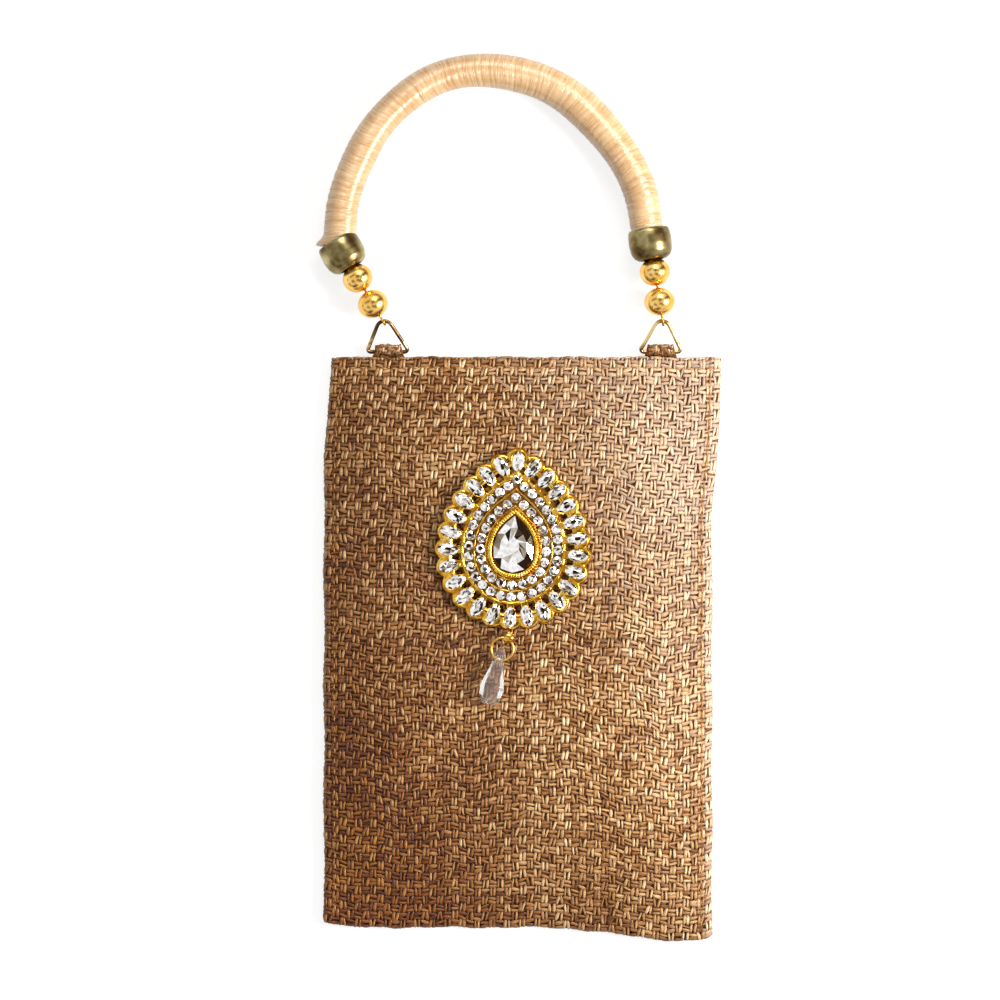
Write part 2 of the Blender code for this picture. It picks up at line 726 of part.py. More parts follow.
def brooch(metals, glass):
    """The brooch on the front of the pouch, with its pendant."""
    seat = POUCH_DEPTH + RIDGE + TOUCH
    frame = empty("brooch_seat", at(BROOCH_X, BROOCH_Y, seat) @ leaned(-BROOCH_LEAN))
    brooch_plate(frame, metals["gold"])
    marquise_stones(frame, glass)
    stone_row("outer_stone_row", OUTER_ROW_PEAR, OUTER_STONES, frame, glass)
    stone_row("inner_stone_row", INNER_ROW_PEAR, INNER_STONES, frame, glass)
    centre_stone(frame, metals["gold"], glass)
    lobe = MARQUISE_LENGTH / 2 + SETTING_RIM
    drop_line = MARQUISE_PEAR[0] + lobe + TOUCH + BAIL_RADIUS + BAIL_WIRE / 2
    bail_height = DROP_DEPTH / 2
    lean = math.radians(BROOCH_LEAN)
    bail_x = BROOCH_X - drop_line * math.sin(lean)
    bail_y = BROOCH_Y - drop_line * math.cos(lean)
    bail_z = seat + bail_height
    pendant = at(bail_x, bail_y, bail_z) @ leaned(-PENDANT_LEAN)
    bail = wire("pendant_bail", circle(BAIL_RADIUS, 12, (1, 2)), BAIL_WIRE, True, 1)
    link("pendant_bail", bail, metals["gold"], None, pendant)
    hang = BAIL_RADIUS - BAIL_WIRE / 2 - JUMP_RING_WIRE / 2 - WIRE_PLAY
    pivot = empty("jump_ring_pivot", pendant @ at(0, -hang, 0))
    centre = at(0, -JUMP_RING_RADIUS, 0)
    ring = wire("jump_ring", circle(JUMP_RING_RADIUS, 16, (0, 1)), JUMP_RING_WIRE, True, 1)
    link("jump_ring", ring, metals["bright"], pivot, centre)
    ring_middle = pendant @ at(0, -hang - JUMP_RING_RADIUS, 0) @ leaned(PENDANT_LEAN)
    on_ring = ring_middle @ leaned(-DROP_PLACE) @ at(0, -JUMP_RING_RADIUS, 0)
    crystal_drop(on_ring @ leaned(DROP_PLACE - DROP_TILT), glass)


def rings_and_handle(metals, jute, silk, rope):
    """The tabs, rings, bead chains and handle, which lies with its cups and its arch on the table."""
    bar_y = POUCH_TOP + BAR_ABOVE_MOUTH
    apex_y = POUCH_TOP + APEX_ABOVE_MOUTH
    arch_top = POUCH_TOP + ARCH_ABOVE_MOUTH + ARCH_RADIUS
    cup_reach = RING_WIRE / 2 + WIRE_PLAY + EYE_WIRE + BEAD_LENGTH + BEAD_PITCH + CUP_LENGTH / 2 - CUP_NEST
    cup_y = apex_y + cup_reach * math.cos(math.radians(LEFT_CHAIN_ANGLE))
    slope = math.asin((CUP_RADIUS - WINDING_RADIUS) / (arch_top - cup_y))
    apex_z = CUP_RADIUS / math.cos(slope) + (cup_y - apex_y) * math.tan(slope)
    frame = empty("handle_pivot", at(0, apex_y, apex_z) @ Matrix.Rotation(-slope, 4, "X"))
    rims = []
    sides = (
        ("left", plan_x(-1, 1) + LEFT_RING_INSET, LEFT_APEX_SHIFT, LEFT_CHAIN_ANGLE),
        ("right", plan_x(1, 1) - RIGHT_RING_INSET, RIGHT_APEX_SHIFT, RIGHT_CHAIN_ANGLE),
    )
    rise = math.atan2(apex_z - BAR_HEIGHT, apex_y - bar_y)
    height = math.hypot(apex_z - BAR_HEIGHT, apex_y - bar_y)
    for side, ring_x, shift, degrees in sides:
        tab(f"{side}_tab", ring_x, bar_y, jute)
        pivot = empty(f"{side}_ring_pivot", at(ring_x, bar_y, BAR_HEIGHT) @ Matrix.Rotation(rise, 4, "X"))
        ring(f"{side}_ring", pivot, height, shift, metals["antique"])
        rims.append(chain(side, ring_x + shift, degrees, frame, metals))
    handle(rims, apex_y, frame, silk, rope)


def main():
    clear_scene()
    jute = finish("jute", (0.42, 0.25, 0.11), 0.75)
    cotton = finish("cotton", (0.55, 0.38, 0.2), 0.9)
    silk = finish("silk thread", (0.82, 0.6, 0.4), 0.35)
    rope = finish("cotton rope", (0.75, 0.68, 0.55), 0.9)
    steel = finish("plated steel", (0.7, 0.62, 0.45), 0.3, 1.0)
    glass = finish("crystal", (0.95, 0.95, 0.97), 0.03, 0.0, 0.35)
    metals = {
        "gold": finish("gold plate", (0.83, 0.6, 0.22), 0.3, 1.0),
        "bright": finish("polished gold", (0.95, 0.72, 0.36), 0.12, 1.0),
        "brass": finish("antiqued brass", (0.6, 0.52, 0.28), 0.35, 1.0),
        "antique": finish("antiqued gold wire", (0.5, 0.38, 0.2), 0.35, 1.0),
    }
    jute_shell(jute)
    lining(cotton)
    snap_halves(steel)
    rings_and_handle(metals, jute, silk, rope)
    brooch(metals, glass)


main()
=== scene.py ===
"""The looks of a jute clutch bag that lies on its back on a white table, seen from straight above."""

import json
import math

import bmesh
import bpy
import numpy as np
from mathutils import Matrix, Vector


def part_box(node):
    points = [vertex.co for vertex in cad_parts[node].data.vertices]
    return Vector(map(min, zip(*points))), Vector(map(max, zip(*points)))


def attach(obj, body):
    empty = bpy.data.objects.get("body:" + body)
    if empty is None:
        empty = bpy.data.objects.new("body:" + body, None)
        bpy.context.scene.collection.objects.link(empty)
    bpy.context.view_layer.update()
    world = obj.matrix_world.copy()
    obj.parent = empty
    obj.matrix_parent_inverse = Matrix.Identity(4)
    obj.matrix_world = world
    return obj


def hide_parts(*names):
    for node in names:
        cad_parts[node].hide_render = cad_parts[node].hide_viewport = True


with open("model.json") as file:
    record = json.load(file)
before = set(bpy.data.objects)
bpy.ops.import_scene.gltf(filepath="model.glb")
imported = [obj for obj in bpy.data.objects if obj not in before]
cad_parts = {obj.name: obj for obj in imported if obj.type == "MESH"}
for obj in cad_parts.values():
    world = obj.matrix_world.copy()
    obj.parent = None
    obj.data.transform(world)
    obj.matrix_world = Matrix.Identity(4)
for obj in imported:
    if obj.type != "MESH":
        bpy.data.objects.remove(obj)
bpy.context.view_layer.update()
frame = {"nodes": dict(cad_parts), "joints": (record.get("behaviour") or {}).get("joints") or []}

# The studio. A camera at arm's length above the table looks straight down on the bag. A large soft lamp
# stands up and to the right, the room around is white, and in reflections it has dim brown patches by a
# noise, which give the polished metal and the foiled stones their dark reflections.
CAMERA_HEIGHT = 1.2
VIEW_WIDTH = 0.3256
VIEW_MIDDLE = (-0.00586, 0.0469, 0.008)
SENSOR = 36.0
ROOM_LEVEL = 0.32


def colour(code, alpha=1.0):
    """An sRGB hex colour as linear light."""
    parts = [int(code[i : i + 2], 16) / 255 for i in (1, 3, 5)]
    return (*[c / 12.92 if c <= 0.04045 else ((c + 0.055) / 1.055) ** 2.4 for c in parts], alpha)


def feed(tree, made, inputs):
    """Sets a node's inputs to values, or links them to sockets or to the first output of other nodes."""
    for name, value in inputs.items():
        if isinstance(value, bpy.types.Node):
            value = value.outputs[0]
        if isinstance(value, bpy.types.NodeSocket):
            tree.links.new(value, made.inputs[name])
        else:
            made.inputs[name].default_value = value


def node(tree, kind, inputs=None, stops=(), **settings):
    """Adds a shader node with its settings and inputs. Stops are a ramp's places and colours."""
    made = tree.nodes.new("ShaderNode" + kind)
    for name, value in settings.items():
        setattr(made, name, value)
    feed(tree, made, inputs or {})
    for i, (place, code) in enumerate(stops):
        stop = made.color_ramp.elements[i] if i < 2 else made.color_ramp.elements.new(place)
        stop.position = place
        stop.color = colour(code)
    return made


def seen_directly(tree, rays):
    """1 for the camera's rays and those that a mirror or glass sends on, and 0 for the rest."""
    shown = node(tree, "Math", {0: rays["Is Camera Ray"], 1: rays["Is Glossy Ray"]}, operation="MAXIMUM")
    return node(tree, "Math", {0: shown, 1: rays["Is Transmission Ray"]}, operation="MAXIMUM")


camera = bpy.data.objects.new("camera", bpy.data.cameras.new("camera"))
camera.data.sensor_width = SENSOR
camera.data.lens = SENSOR * CAMERA_HEIGHT / VIEW_WIDTH
camera.data.clip_end = 10.0
camera.location = Vector(VIEW_MIDDLE) + Vector((0, 0, CAMERA_HEIGHT))
bpy.context.collection.objects.link(camera)
bpy.context.scene.camera = camera
bpy.context.scene.view_settings.view_transform = "Standard"

for name, place, size, power, tint in (
    ("key lamp", (0.58, 0.02, 0.46), 0.26, 7.4, "#FFF8F0"),
    ("top lamp", (0.1, 0.75, 0.7), 0.4, 3.6, "#FFFAF4"),
):
    lamp = bpy.data.objects.new(name, bpy.data.lights.new(name, "AREA"))
    lamp.data.size = size
    lamp.data.energy = power
    lamp.data.color = colour(tint)[:3]
    lamp.location = place
    lamp.rotation_euler = (Vector(VIEW_MIDDLE) - lamp.location).to_track_quat("-Z", "Y").to_euler()
    lamp.visible_camera = False
    bpy.context.collection.objects.link(lamp)

world = bpy.data.worlds.new("white room")
world.use_nodes = True
bpy.context.scene.world = world
tree = world.node_tree
rays = node(tree, "LightPath").outputs
ahead = node(tree, "TexCoord").outputs["Generated"]
cloudy = node(tree, "TexNoise", {"Vector": ahead, "Scale": 1.9, "Detail": 0.0})
seen = node(tree, "ValToRGB", {0: cloudy}, (
    (0.38, "#2E2016"), (0.46, "#A9977E"), (0.52, "#FFFFFF"), (0.8, "#FFFFFF")))
room = node(tree, "Mix", {0: rays["Is Glossy Ray"], 6: colour("#FFFFFF"), 7: seen}, data_type="RGBA")
level = node(tree, "MapRange", {0: seen_directly(tree, rays), 3: ROOM_LEVEL})
feed(tree, tree.nodes["Background"], {"Color": room.outputs[2], "Strength": level})

# The table is a white board. It stays white around the bag and takes a faint shadow under it.
TABLE_HALF = 3.0
TABLE_DOWN = -0.00005
BOARD_GLOW = 0.8
table_mesh = bpy.data.meshes.new("table")
square = ((-1, -1), (1, -1), (1, 1), (-1, 1))
table_mesh.from_pydata([(x * TABLE_HALF, y * TABLE_HALF, TABLE_DOWN) for x, y in square], [], [(0, 1, 2, 3)])
table = bpy.data.objects.new("table", table_mesh)
bpy.context.collection.objects.link(table)
white_board = bpy.data.materials.new("white board")
white_board.use_nodes = True
tree = white_board.node_tree
tree.nodes.clear()
shown = seen_directly(tree, node(tree, "LightPath").outputs)
glow = node(tree, "Math", {0: shown, 1: BOARD_GLOW}, operation="MULTIPLY")
paint = node(tree, "BsdfDiffuse", {"Color": colour("#A0A0A0")})
board = node(tree, "AddShader", {0: paint, 1: node(tree, "Emission", {"Strength": glow})})
node(tree, "OutputMaterial", {"Surface": board})
table_mesh.materials.append(white_board)

# The pouch is one strip of jute, folded at the bottom and sewn up its two sides, with a hem turned in at
# the mouth. It is a basket weave: pairs of glossy warp yarns stand over pairs of duller weft yarns, and a
# ground painted dark, as the shade between them, shows in the gaps.
MM = 0.001
POUCH_WIDTH = 126.6
POUCH_TOP = 93.4
POUCH_BOTTOM = -91.8
POUCH_LENGTH = POUCH_TOP - POUCH_BOTTOM
FOLD_SAG = 1.0
CORNER_DROP = 5.0
CORNER_ROUND = 2.2
LEFT_LEAN = 2.6
RIGHT_LEAN = 2.8
POUCH_DEPTH = 15.0
MOUTH_DEPTH = 10.6
SEAM_DEPTH = 3.4
SEAM_WIDTH = 3.6
EDGE_LIFT = 0.9
CROWN = 3.5
FILL_FROM_BOTTOM = 0.35
NECK_START = 0.74
JUTE_THICK = 1.2
HEM_LINE = 2.8
GROOVE_DEEP = 0.55
GROOVE_WIDE = 0.55
FRONT_INSET = 0.1
BACK_INSET = 0.55
PAIRS_ACROSS = 52
PAIRS_ALONG = 68


def smooth_step(value):
    """0 up to 0 and 1 from 1 on; between them three times the square less twice the cube."""
    value = np.clip(value, 0, 1)
    return value**2 * (3 - 2 * value)


def plan(u, v):
    """Across and along in mm. Near the mouth the left side leans in by a square of v and the right side out
    by a smooth step. The fold drops towards its right corner by another, and sines make the edges uneven."""
    left = LEFT_LEAN * np.clip((v - 0.75) / 0.25, 0, 1) ** 2
    right = RIGHT_LEAN * smooth_step((v - 0.72) / 0.2)
    lean = left * (1 - u) / 2 + right * (1 + u) / 2
    bottom = POUCH_BOTTOM - FOLD_SAG - CORNER_DROP * smooth_step((u - 0.1) / 0.9)
    bottom = bottom + CORNER_ROUND * np.abs(u) ** 16 + 0.35 * np.sin(9.0 * u + 1.0) * np.sin(23.0 * u)
    side = 0.22 * np.sin(31.0 * v + 2.0 * np.sign(u)) * np.abs(u) ** 12
    top = POUCH_TOP - JUTE_THICK / 2 - 0.18 * (1 + np.sin(17.0 * u + 0.6))
    return u * POUCH_WIDTH / 2 + lean + side, bottom + v * (top - bottom)


def cloth(u, v, face):
    """A point of the cloth's middle surface, in mm. u goes from -1 to 1 between the seams, v from 0 at the
    fold to 1 at the hem and then over it, and face is 1 in front and -1 behind. The front is a crown of
    powers of u and v, both faces meet in a round edge, and grooves run along the seams and the hem."""
    over = np.clip(v - 1, 0, None) * POUCH_LENGTH
    hem = JUTE_THICK / 2
    turn = np.minimum(over / hem, math.pi)
    inside = np.clip(over - math.pi * hem, 0, None)
    v = np.clip(v, 0, 1) - inside / POUCH_LENGTH
    x, y = plan(u, v)
    from_fold = 1 - np.clip(1 - v / FILL_FROM_BOTTOM, 0, None) ** 2.5
    mouth_loss = (POUCH_DEPTH - MOUTH_DEPTH) / (POUCH_DEPTH - SEAM_DEPTH)
    full = from_fold * (1 - mouth_loss * np.clip((v - NECK_START) / (1 - NECK_START), 0, None) ** 2)
    lift = np.clip((np.abs(u) - 0.8) / 0.2, 0, None) ** 2 + np.clip(1 - v / 0.06, 0, None) ** 2
    back = EDGE_LIFT * np.minimum(1, lift)
    arch = np.clip(1 - np.abs(u) ** CROWN, 0, None)
    lumps = 0.5 * np.sin(5.1 * u + 2.2 * v + 0.5) * np.sin(7.3 * v - 1.7 * u) * arch * full
    front = back + SEAM_DEPTH + (POUCH_DEPTH - SEAM_DEPTH) * full * arch + lumps
    middle = back + SEAM_DEPTH / 2
    to_side = (1 - np.abs(u)) * POUCH_WIDTH / 2
    to_edge = np.clip(np.minimum(to_side, v * POUCH_LENGTH) / (SEAM_DEPTH / 2), 0, 1)
    outer = np.where(face > 0, front - FRONT_INSET, back + BACK_INSET)
    to_mouth = (1 - v) * POUCH_LENGTH
    groove = np.exp(-(((to_side - SEAM_WIDTH) / GROOVE_WIDE) ** 2))
    groove = np.maximum(groove, 0.8 * np.exp(-(((to_mouth - HEM_LINE) / GROOVE_WIDE) ** 2)) * (over == 0))
    rise = (outer - middle) * np.sqrt(1 - (1 - to_edge) ** 2)
    rise = rise - face * GROOVE_DEEP * groove - face * hem * (1 - np.cos(turn))
    rise = face * np.maximum(face * rise, 0.0)
    return np.stack(np.broadcast_arrays(x, y + hem * np.sin(turn), middle + rise), axis=-1)


def unit(vectors):
    """Vectors divided by their lengths."""
    return vectors / np.linalg.norm(vectors, axis=-1, keepdims=True)


def cloth_normal(u, v, face):
    """The outward direction of the cloth, from the cross product of its slopes along u and v."""
    step = 0.002
    across = cloth(u + step, v, face) - cloth(u - step, v, face)
    along = cloth(u, v + step, face) - cloth(u, v - step, face)
    return unit(np.cross(across, along) * face)


def grid_mesh(points, along=False, caps=False, cut=False, weld=False):
    """A mesh of one or more copies of a grid, from points in mm, copies x rows x columns. Each row closes
    on itself, the last row closes on the first if along, and cut halves each quad. The faces turn outwards:
    their order is reversed where the first copy's volume, the sum of its triple products, is negative."""
    rows, columns = points.shape[-3:-1]
    points = points.reshape(-1, rows * columns, 3)
    index = np.arange(rows * columns).reshape(rows, columns)
    index = np.hstack([index, index[:, :1]])
    if along:
        index = np.vstack([index, index[:1]])
    a, b, c, d = index[:-1, :-1], index[:-1, 1:], index[1:, 1:], index[1:, :-1]
    parts = ((a, b, d), (b, c, d)) if cut else ((a, b, c, d),)
    faces = [np.stack(part, axis=-1).reshape(-1, len(part)) for part in parts]
    if caps:
        faces += [np.arange(columns)[None, ::-1], (rows - 1) * columns + np.arange(columns)[None]]
    first = points[0] - points[0].mean(axis=0)
    volume = 0.0
    for group in faces:
        for k in range(1, group.shape[1] - 1):
            fan = np.cross(first[group[:, k]], first[group[:, k + 1]])
            volume += (first[group[:, 0]] * fan).sum()
    if volume < 0:
        faces = [group[:, ::-1] for group in faces]
    copies, corners = points.shape[:2]
    shift = corners * np.arange(copies)[:, None, None]
    loops = np.concatenate([(group[None] + shift).ravel() for group in faces])
    sizes = np.concatenate([np.full(copies * len(group), group.shape[1]) for group in faces])
    mesh = bpy.data.meshes.new("grid")
    mesh.vertices.add(copies * corners)
    mesh.vertices.foreach_set("co", points.ravel() * MM)
    mesh.loops.add(len(loops))
    mesh.loops.foreach_set("vertex_index", loops)
    mesh.polygons.add(len(sizes))
    mesh.polygons.foreach_set("loop_start", np.cumsum(sizes) - sizes)
    mesh.update(calc_edges=True)
    if weld:
        build = bmesh.new()
        build.from_mesh(mesh)
        bmesh.ops.remove_doubles(build, verts=build.verts, dist=2e-6)
        build.to_mesh(mesh)
        build.free()
    mesh.validate()
    return mesh


def mark(mesh, name, values, kind="FLOAT_VECTOR"):
    """Keeps a number or three with each corner of a mesh, for its material to read."""
    kept = mesh.attributes.new(name, kind, "POINT").data
    kept.foreach_set("vector" if kind == "FLOAT_VECTOR" else "value", np.ravel(values))


def add_piece(name, form, finish, slot, body, replaced, sharp=None, **closing):
    """Adds a mesh or a grid of points as a piece that takes a finish, rides on a body and replaces a
    CAD node. The slot is not used. Its edges above an angle in degrees are sharp: none without an angle, all
    of them at 0."""
    mesh = form if isinstance(form, bpy.types.Mesh) else grid_mesh(form, **closing)
    mesh.name = name
    if sharp == 0:
        mesh.shade_flat()
    else:
        mesh.shade_smooth()
        if sharp:
            mesh.set_sharp_from_angle(angle=math.radians(sharp))
    mesh.materials.append(finish)
    made = bpy.data.objects.new(name, mesh)
    bpy.context.collection.objects.link(made)
    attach(made, body)
    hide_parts(replaced)
    return made


def new_finish(name, settings):
    """A material with a Principled shader whose sockets have these settings, and its tree and shader."""
    made = bpy.data.materials.new(name)
    made.use_nodes = True
    shader = made.node_tree.nodes["Principled BSDF"]
    for socket, value in settings.items():
        shader.inputs[socket].default_value = value
    return made, made.node_tree, shader
def mottled(name, settings, cell, stops=None, detail=2.0, rough=None, bump=None):
    """A finish with one noise, whose cells are this many mm wide. It goes through a ramp to the colour, and
    between two levels to the roughness, and raises the surface by a strength and a distance in mm."""
    made, tree, shader = new_finish(name, settings)
    where = node(tree, "TexCoord").outputs["Object"]
    cloud = node(tree, "TexNoise", {"Vector": where, "Scale": 1 / (cell * MM), "Detail": detail})
    if stops:
        feed(tree, shader, {"Base Color": node(tree, "ValToRGB", {0: cloud}, stops)})
    if rough:
        feed(tree, shader, {"Roughness": node(tree, "MapRange", {0: cloud, 3: rough[0], 4: rough[1]})})
    if bump:
        raised = {"Height": cloud, "Strength": bump[0], "Distance": bump[1] * MM}
        feed(tree, shader, {"Normal": node(tree, "Bump", raised)})
    return made


# Jute yarn: twisted plant fibre, dyed light and calendered, so it has a satin gloss along its fibres
FIBRES_PER_HALF_YARN = 3.6
FIBRES_PER_MM = 0.7
PATCH = 22.0


def jute_yarn(name, stops, roughness):
    """Colour goes by strand, by fibre and by place, is painted darker as shade at a float's flanks and ends,
    where it dives, and takes the painted light and shade kept with the yarns; bump is the fibres along each
    float, drawn 0.15 mm wide, coarser than real, so that they show."""
    made, tree, shader = new_finish(name, {"IOR": 1.5, "Roughness": roughness})
    strand = node(tree, "Attribute", attribute_name="yarn").outputs["Vector"]
    across, along, tone = node(tree, "SeparateXYZ", {0: strand}).outputs
    factors = (FIBRES_PER_HALF_YARN, FIBRES_PER_MM, 61.0)
    stretched = node(tree, "VectorMath", {0: strand, 1: factors}, operation="MULTIPLY")
    fibre = node(tree, "TexNoise", {"Vector": stretched, "Scale": 1.0, "Detail": 3.0})
    where = node(tree, "TexCoord").outputs["Object"]
    patch = node(tree, "TexNoise", {"Vector": where, "Scale": 1 / (PATCH * MM)})
    mixed = node(tree, "Math", {0: fibre, 1: 1.1, 2: -0.66}, operation="MULTIPLY_ADD")
    mixed = node(tree, "Math", {0: patch, 1: 0.55, 2: mixed}, operation="MULTIPLY_ADD")
    mixed = node(tree, "Math", {0: tone, 1: 0.75, 2: mixed}, operation="MULTIPLY_ADD")
    shade = node(tree, "ValToRGB", {0: mixed}, stops)
    # Painted shade: the colour darkens towards a float's flanks and ends, where it dives under the next
    # yarns
    far = node(tree, "Math", {0: across}, operation="ABSOLUTE")
    far = node(tree, "Math", {0: far, 1: 4.0}, operation="POWER")
    painted_dive_shade = node(tree, "MapRange", {0: far, 1: 0.1, 4: 0.7})
    reach = node(tree, "Math", {0: along}, operation="ABSOLUTE")
    dive = node(tree, "MapRange", {0: reach, 1: 0.7, 2: 1.6, 4: 0.8})
    painted_dive_shade = node(tree, "Math", {0: painted_dive_shade, 1: dive}, operation="MAXIMUM")
    # The kept painted light darkens the colour as painted shade where it is below 0 and pales it as painted
    # light above 0
    painted_light = node(tree, "Attribute", attribute_name="painted_light").outputs["Fac"]
    painted_shade_share = node(tree, "MapRange", {0: painted_light, 2: -1.0})
    painted_light_share = node(tree, "MapRange", {0: painted_light, 4: 0.5})
    for amount, over, way in (
        (painted_dive_shade, "#4C2000", "MIX"), (painted_shade_share, "#BE9658", "MULTIPLY"), (painted_light_share, "#EBD9C6", "MIX")
    ):
        mix = node(tree, "Mix", {0: amount, 6: shade, 7: colour(over)}, data_type="RGBA", blend_type=way)
        shade = mix.outputs[2]
    raised = node(tree, "Bump", {"Height": fibre, "Strength": 0.5, "Distance": 0.2 * MM})
    feed(tree, shader, {"Base Color": shade, "Normal": raised})
    return made


warp_finish = jute_yarn("glossy jute warp", (
    (0.12, "#6C3C0E"), (0.36, "#A47036"), (0.56, "#CDA069"), (0.8, "#F3D6A8")), 0.4)
weft_finish = jute_yarn("dull jute weft", (
    (0.12, "#5C3008"), (0.38, "#8F5C26"), (0.6, "#B68650"), (0.85, "#DDB681")), 0.5)
# Jute ground: a sheet under the yarns, its colour painted dark brown as the shade in the gaps between them;
# rough and matt
ground_finish = mottled("jute ground", {"Roughness": 0.8}, 1.11, ((0.35, "#4A2000"), (0.65, "#96622A")),
                        detail=3.0, bump=(0.6, 0.3))

# The ground under the yarns, from the fold up the outside, over the hem and down inside the pocket
GROUND_DOWN = 0.35
GROUND_COLUMNS = 90
def pocket_loop(u, v, inward, least=0.0):
    """A loop round the pocket at one level: the cloth's two faces, each drawn in towards the middle."""
    level = EDGE_LIFT * np.clip((np.abs(u) - 0.8) / 0.2, 0, 1) ** 2 + SEAM_DEPTH / 2
    sheets = [cloth(u, v, face) for face in (1, -1)]
    for face, sheet in zip((1, -1), sheets):
        sheet[:, 2] = level + face * np.maximum(face * (sheet[:, 2] - level) - inward, least)
    return np.vstack([sheets[0], sheets[1][::-1]])


across = np.linspace(-1, 1, GROUND_COLUMNS)
to_side = np.clip((1 - np.abs(across)) * POUCH_WIDTH / 2 / SEAM_DEPTH, 0, 1)[:, None]
inner_reach = 1 - 2 * SEAM_WIDTH / POUCH_WIDTH
loops = []
for v in np.linspace(0, 1, 90) ** 0.9:
    down = GROUND_DOWN * min(1.0, v * POUCH_LENGTH / SEAM_DEPTH) * to_side
    front, back = (cloth(across, v, face) - cloth_normal(across, v, face) * down for face in (1, -1))
    loops.append(np.vstack([front, back[::-1]]))
for share in np.linspace(0, 1, 6):
    v = 1 + (0.15 + 0.85 * share) * math.pi * JUTE_THICK / 2 / POUCH_LENGTH
    reached = across * (1 - (1 - inner_reach) * share)
    loops.append(np.vstack([cloth(reached, v, 1), cloth(reached, v, -1)[::-1]]))
for v in 1 - np.linspace(0, 1, 26) ** 1.2 * (1 - SEAM_WIDTH / POUCH_LENGTH):
    loops.append(pocket_loop(across * inner_reach, v, JUTE_THICK))
closing = loops[-1].copy()
closing[:, 2] = (loops[-1][:, 2] + loops[-1][::-1, 2]) / 2
add_piece("jute_ground", np.array([*loops, closing]),
          ground_finish, "jute", "pouch", "jute_shell", weld=True)

# The yarns: each float is a flattened lens that rises over one crossing and dives under the next two
WARP_RISE = 0.26
WEFT_RISE = 0.12
YARN_THICK = 0.3
YARN_SHARE = 0.5
HEM_ROWS = 3
ABOVE_TABLE = 0.02
PAIR_ACROSS = POUCH_WIDTH / PAIRS_ACROSS
PAIR_ALONG = POUCH_LENGTH / PAIRS_ALONG
SECTION = np.radians([-30, 40, 90, 140, 210])


def on_pouch(s, t, face):
    """Places, outward directions and painted light on the pouch, where s and t count pairs of yarns across
    and up.
    The rows sway by slow sines. The front is painted lighter towards its upper right and darker towards its
    lower left by a plane in u and v, with a painted highlight as a Gaussian patch at the upper right; the
    seam strips are painted paler and their grooves painted darker as shade. The back takes 0.4 of this
    painted light."""
    u = 2 * s / PAIRS_ACROSS - 1
    v = t / PAIRS_ALONG
    calm = np.clip(4 * np.minimum(1 - np.abs(u), np.minimum(v, 1 - v)), 0, 1)
    u, v = (
        u + calm * (0.010 * np.sin(9.0 * v + 1.0) + 0.004 * np.sin(31.0 * v + 5.0 * u)),
        v + calm * (0.005 * np.sin(5.0 * u + 0.7) + 0.003 * np.sin(17.0 * u + 9.0 * v)),
    )
    u = np.clip(u, -1, 1)
    v = np.clip(v, 0, None)
    # Painted highlight: a Gaussian patch at the upper right, and painted light and shade, lighter to the
    # right and up
    patch = 0.35 * np.exp(-(((u - 0.72) / 0.25) ** 2) - ((v - 0.8) / 0.13) ** 2)
    painted_light = -0.66 + 0.72 * u + 0.85 * v + patch
    # The seam strips are painted paler, and the grooves along them are painted darker as shade
    to_seam = (1 - np.abs(u)) * POUCH_WIDTH / 2 - SEAM_WIDTH
    painted_light = painted_light + 0.35 * (to_seam < -0.6) - 0.7 * np.exp(-((to_seam / 0.8) ** 2))
    return cloth(u, v, face), cloth_normal(u, v, face), painted_light if face > 0 else 0.4 * painted_light


def weave_yarns(name, place, columns, rows, warp, stations, seed, replaced):
    """Every float of one set of yarns on a cloth. Along each float the height is a cosine, across it the
    section is an ellipse, and each float leans, swells and shortens a little by chance."""
    chance = np.random.default_rng(seed)
    row, column = np.mgrid[0:rows, 0:columns]
    over = (row + column) % 2 == (0 if warp else 1)
    row, column = np.repeat(row[over], 2), np.repeat(column[over], 2)
    each = (len(row), 1, 1)
    second = np.tile([-0.25, 0.25], len(row) // 2).reshape(each)
    along = np.array(stations)[None, :, None] * chance.uniform(0.85, 1.12, each)
    spread = YARN_SHARE * chance.uniform(0.66, 1.2, each) * 0.5 * (1 - 0.7 * along**2)
    slant = chance.normal(0.07 if warp else -0.03, 0.13, each)
    sideways = spread * np.cos(SECTION) + slant * along + chance.normal(0, 0.045, each)
    along = along + 0 * sideways
    s, t = column.reshape(each) + 0.5, row.reshape(each) + 0.5
    if warp:
        s, t = s + second + sideways, t + along
    else:
        s, t = s + along, t + second + sideways
    points, normals, painted_light = place(s, t)
    rise = (WARP_RISE if warp else WEFT_RISE) * chance.uniform(0.55, 1.2, each)
    height = rise * np.cos(math.pi * along) + YARN_THICK * np.sin(SECTION)
    points = points + normals * height[..., None]
    points[..., 2] = np.maximum(points[..., 2], ABOVE_TABLE)
    mesh = grid_mesh(points, caps=True)
    strand = (column if warp else row) * 2 + (second.ravel() > 0)
    strand_tone = chance.uniform(0, 1, strand.max() + 1)[strand].reshape(each)
    tone = 0.45 * strand_tone + 0.55 * chance.uniform(0, 1, each) + 0 * along
    shares = np.cos(SECTION) + 0 * along
    mark(mesh, "yarn", np.stack([shares, along * (PAIR_ALONG if warp else PAIR_ACROSS), tone], axis=-1))
    mark(mesh, "painted_light", painted_light + chance.normal(0, 0.12, each), "FLOAT")
    add_piece(name, mesh, warp_finish if warp else weft_finish, "jute", "pouch", replaced)


for face, side, stations in (
    (1, "front", (-0.66, -0.34, 0.0, 0.34, 0.66)),
    (-1, "back", (-0.62, -0.22, 0.22, 0.62)),
):
    for warp in (True, False):
        weave_yarns(
            f"{side}_{'warp' if warp else 'weft'}", lambda s, t: on_pouch(s, t, face), PAIRS_ACROSS,
            PAIRS_ALONG + HEM_ROWS, warp, stations, 11 + face + 3 * warp, "jute_shell")

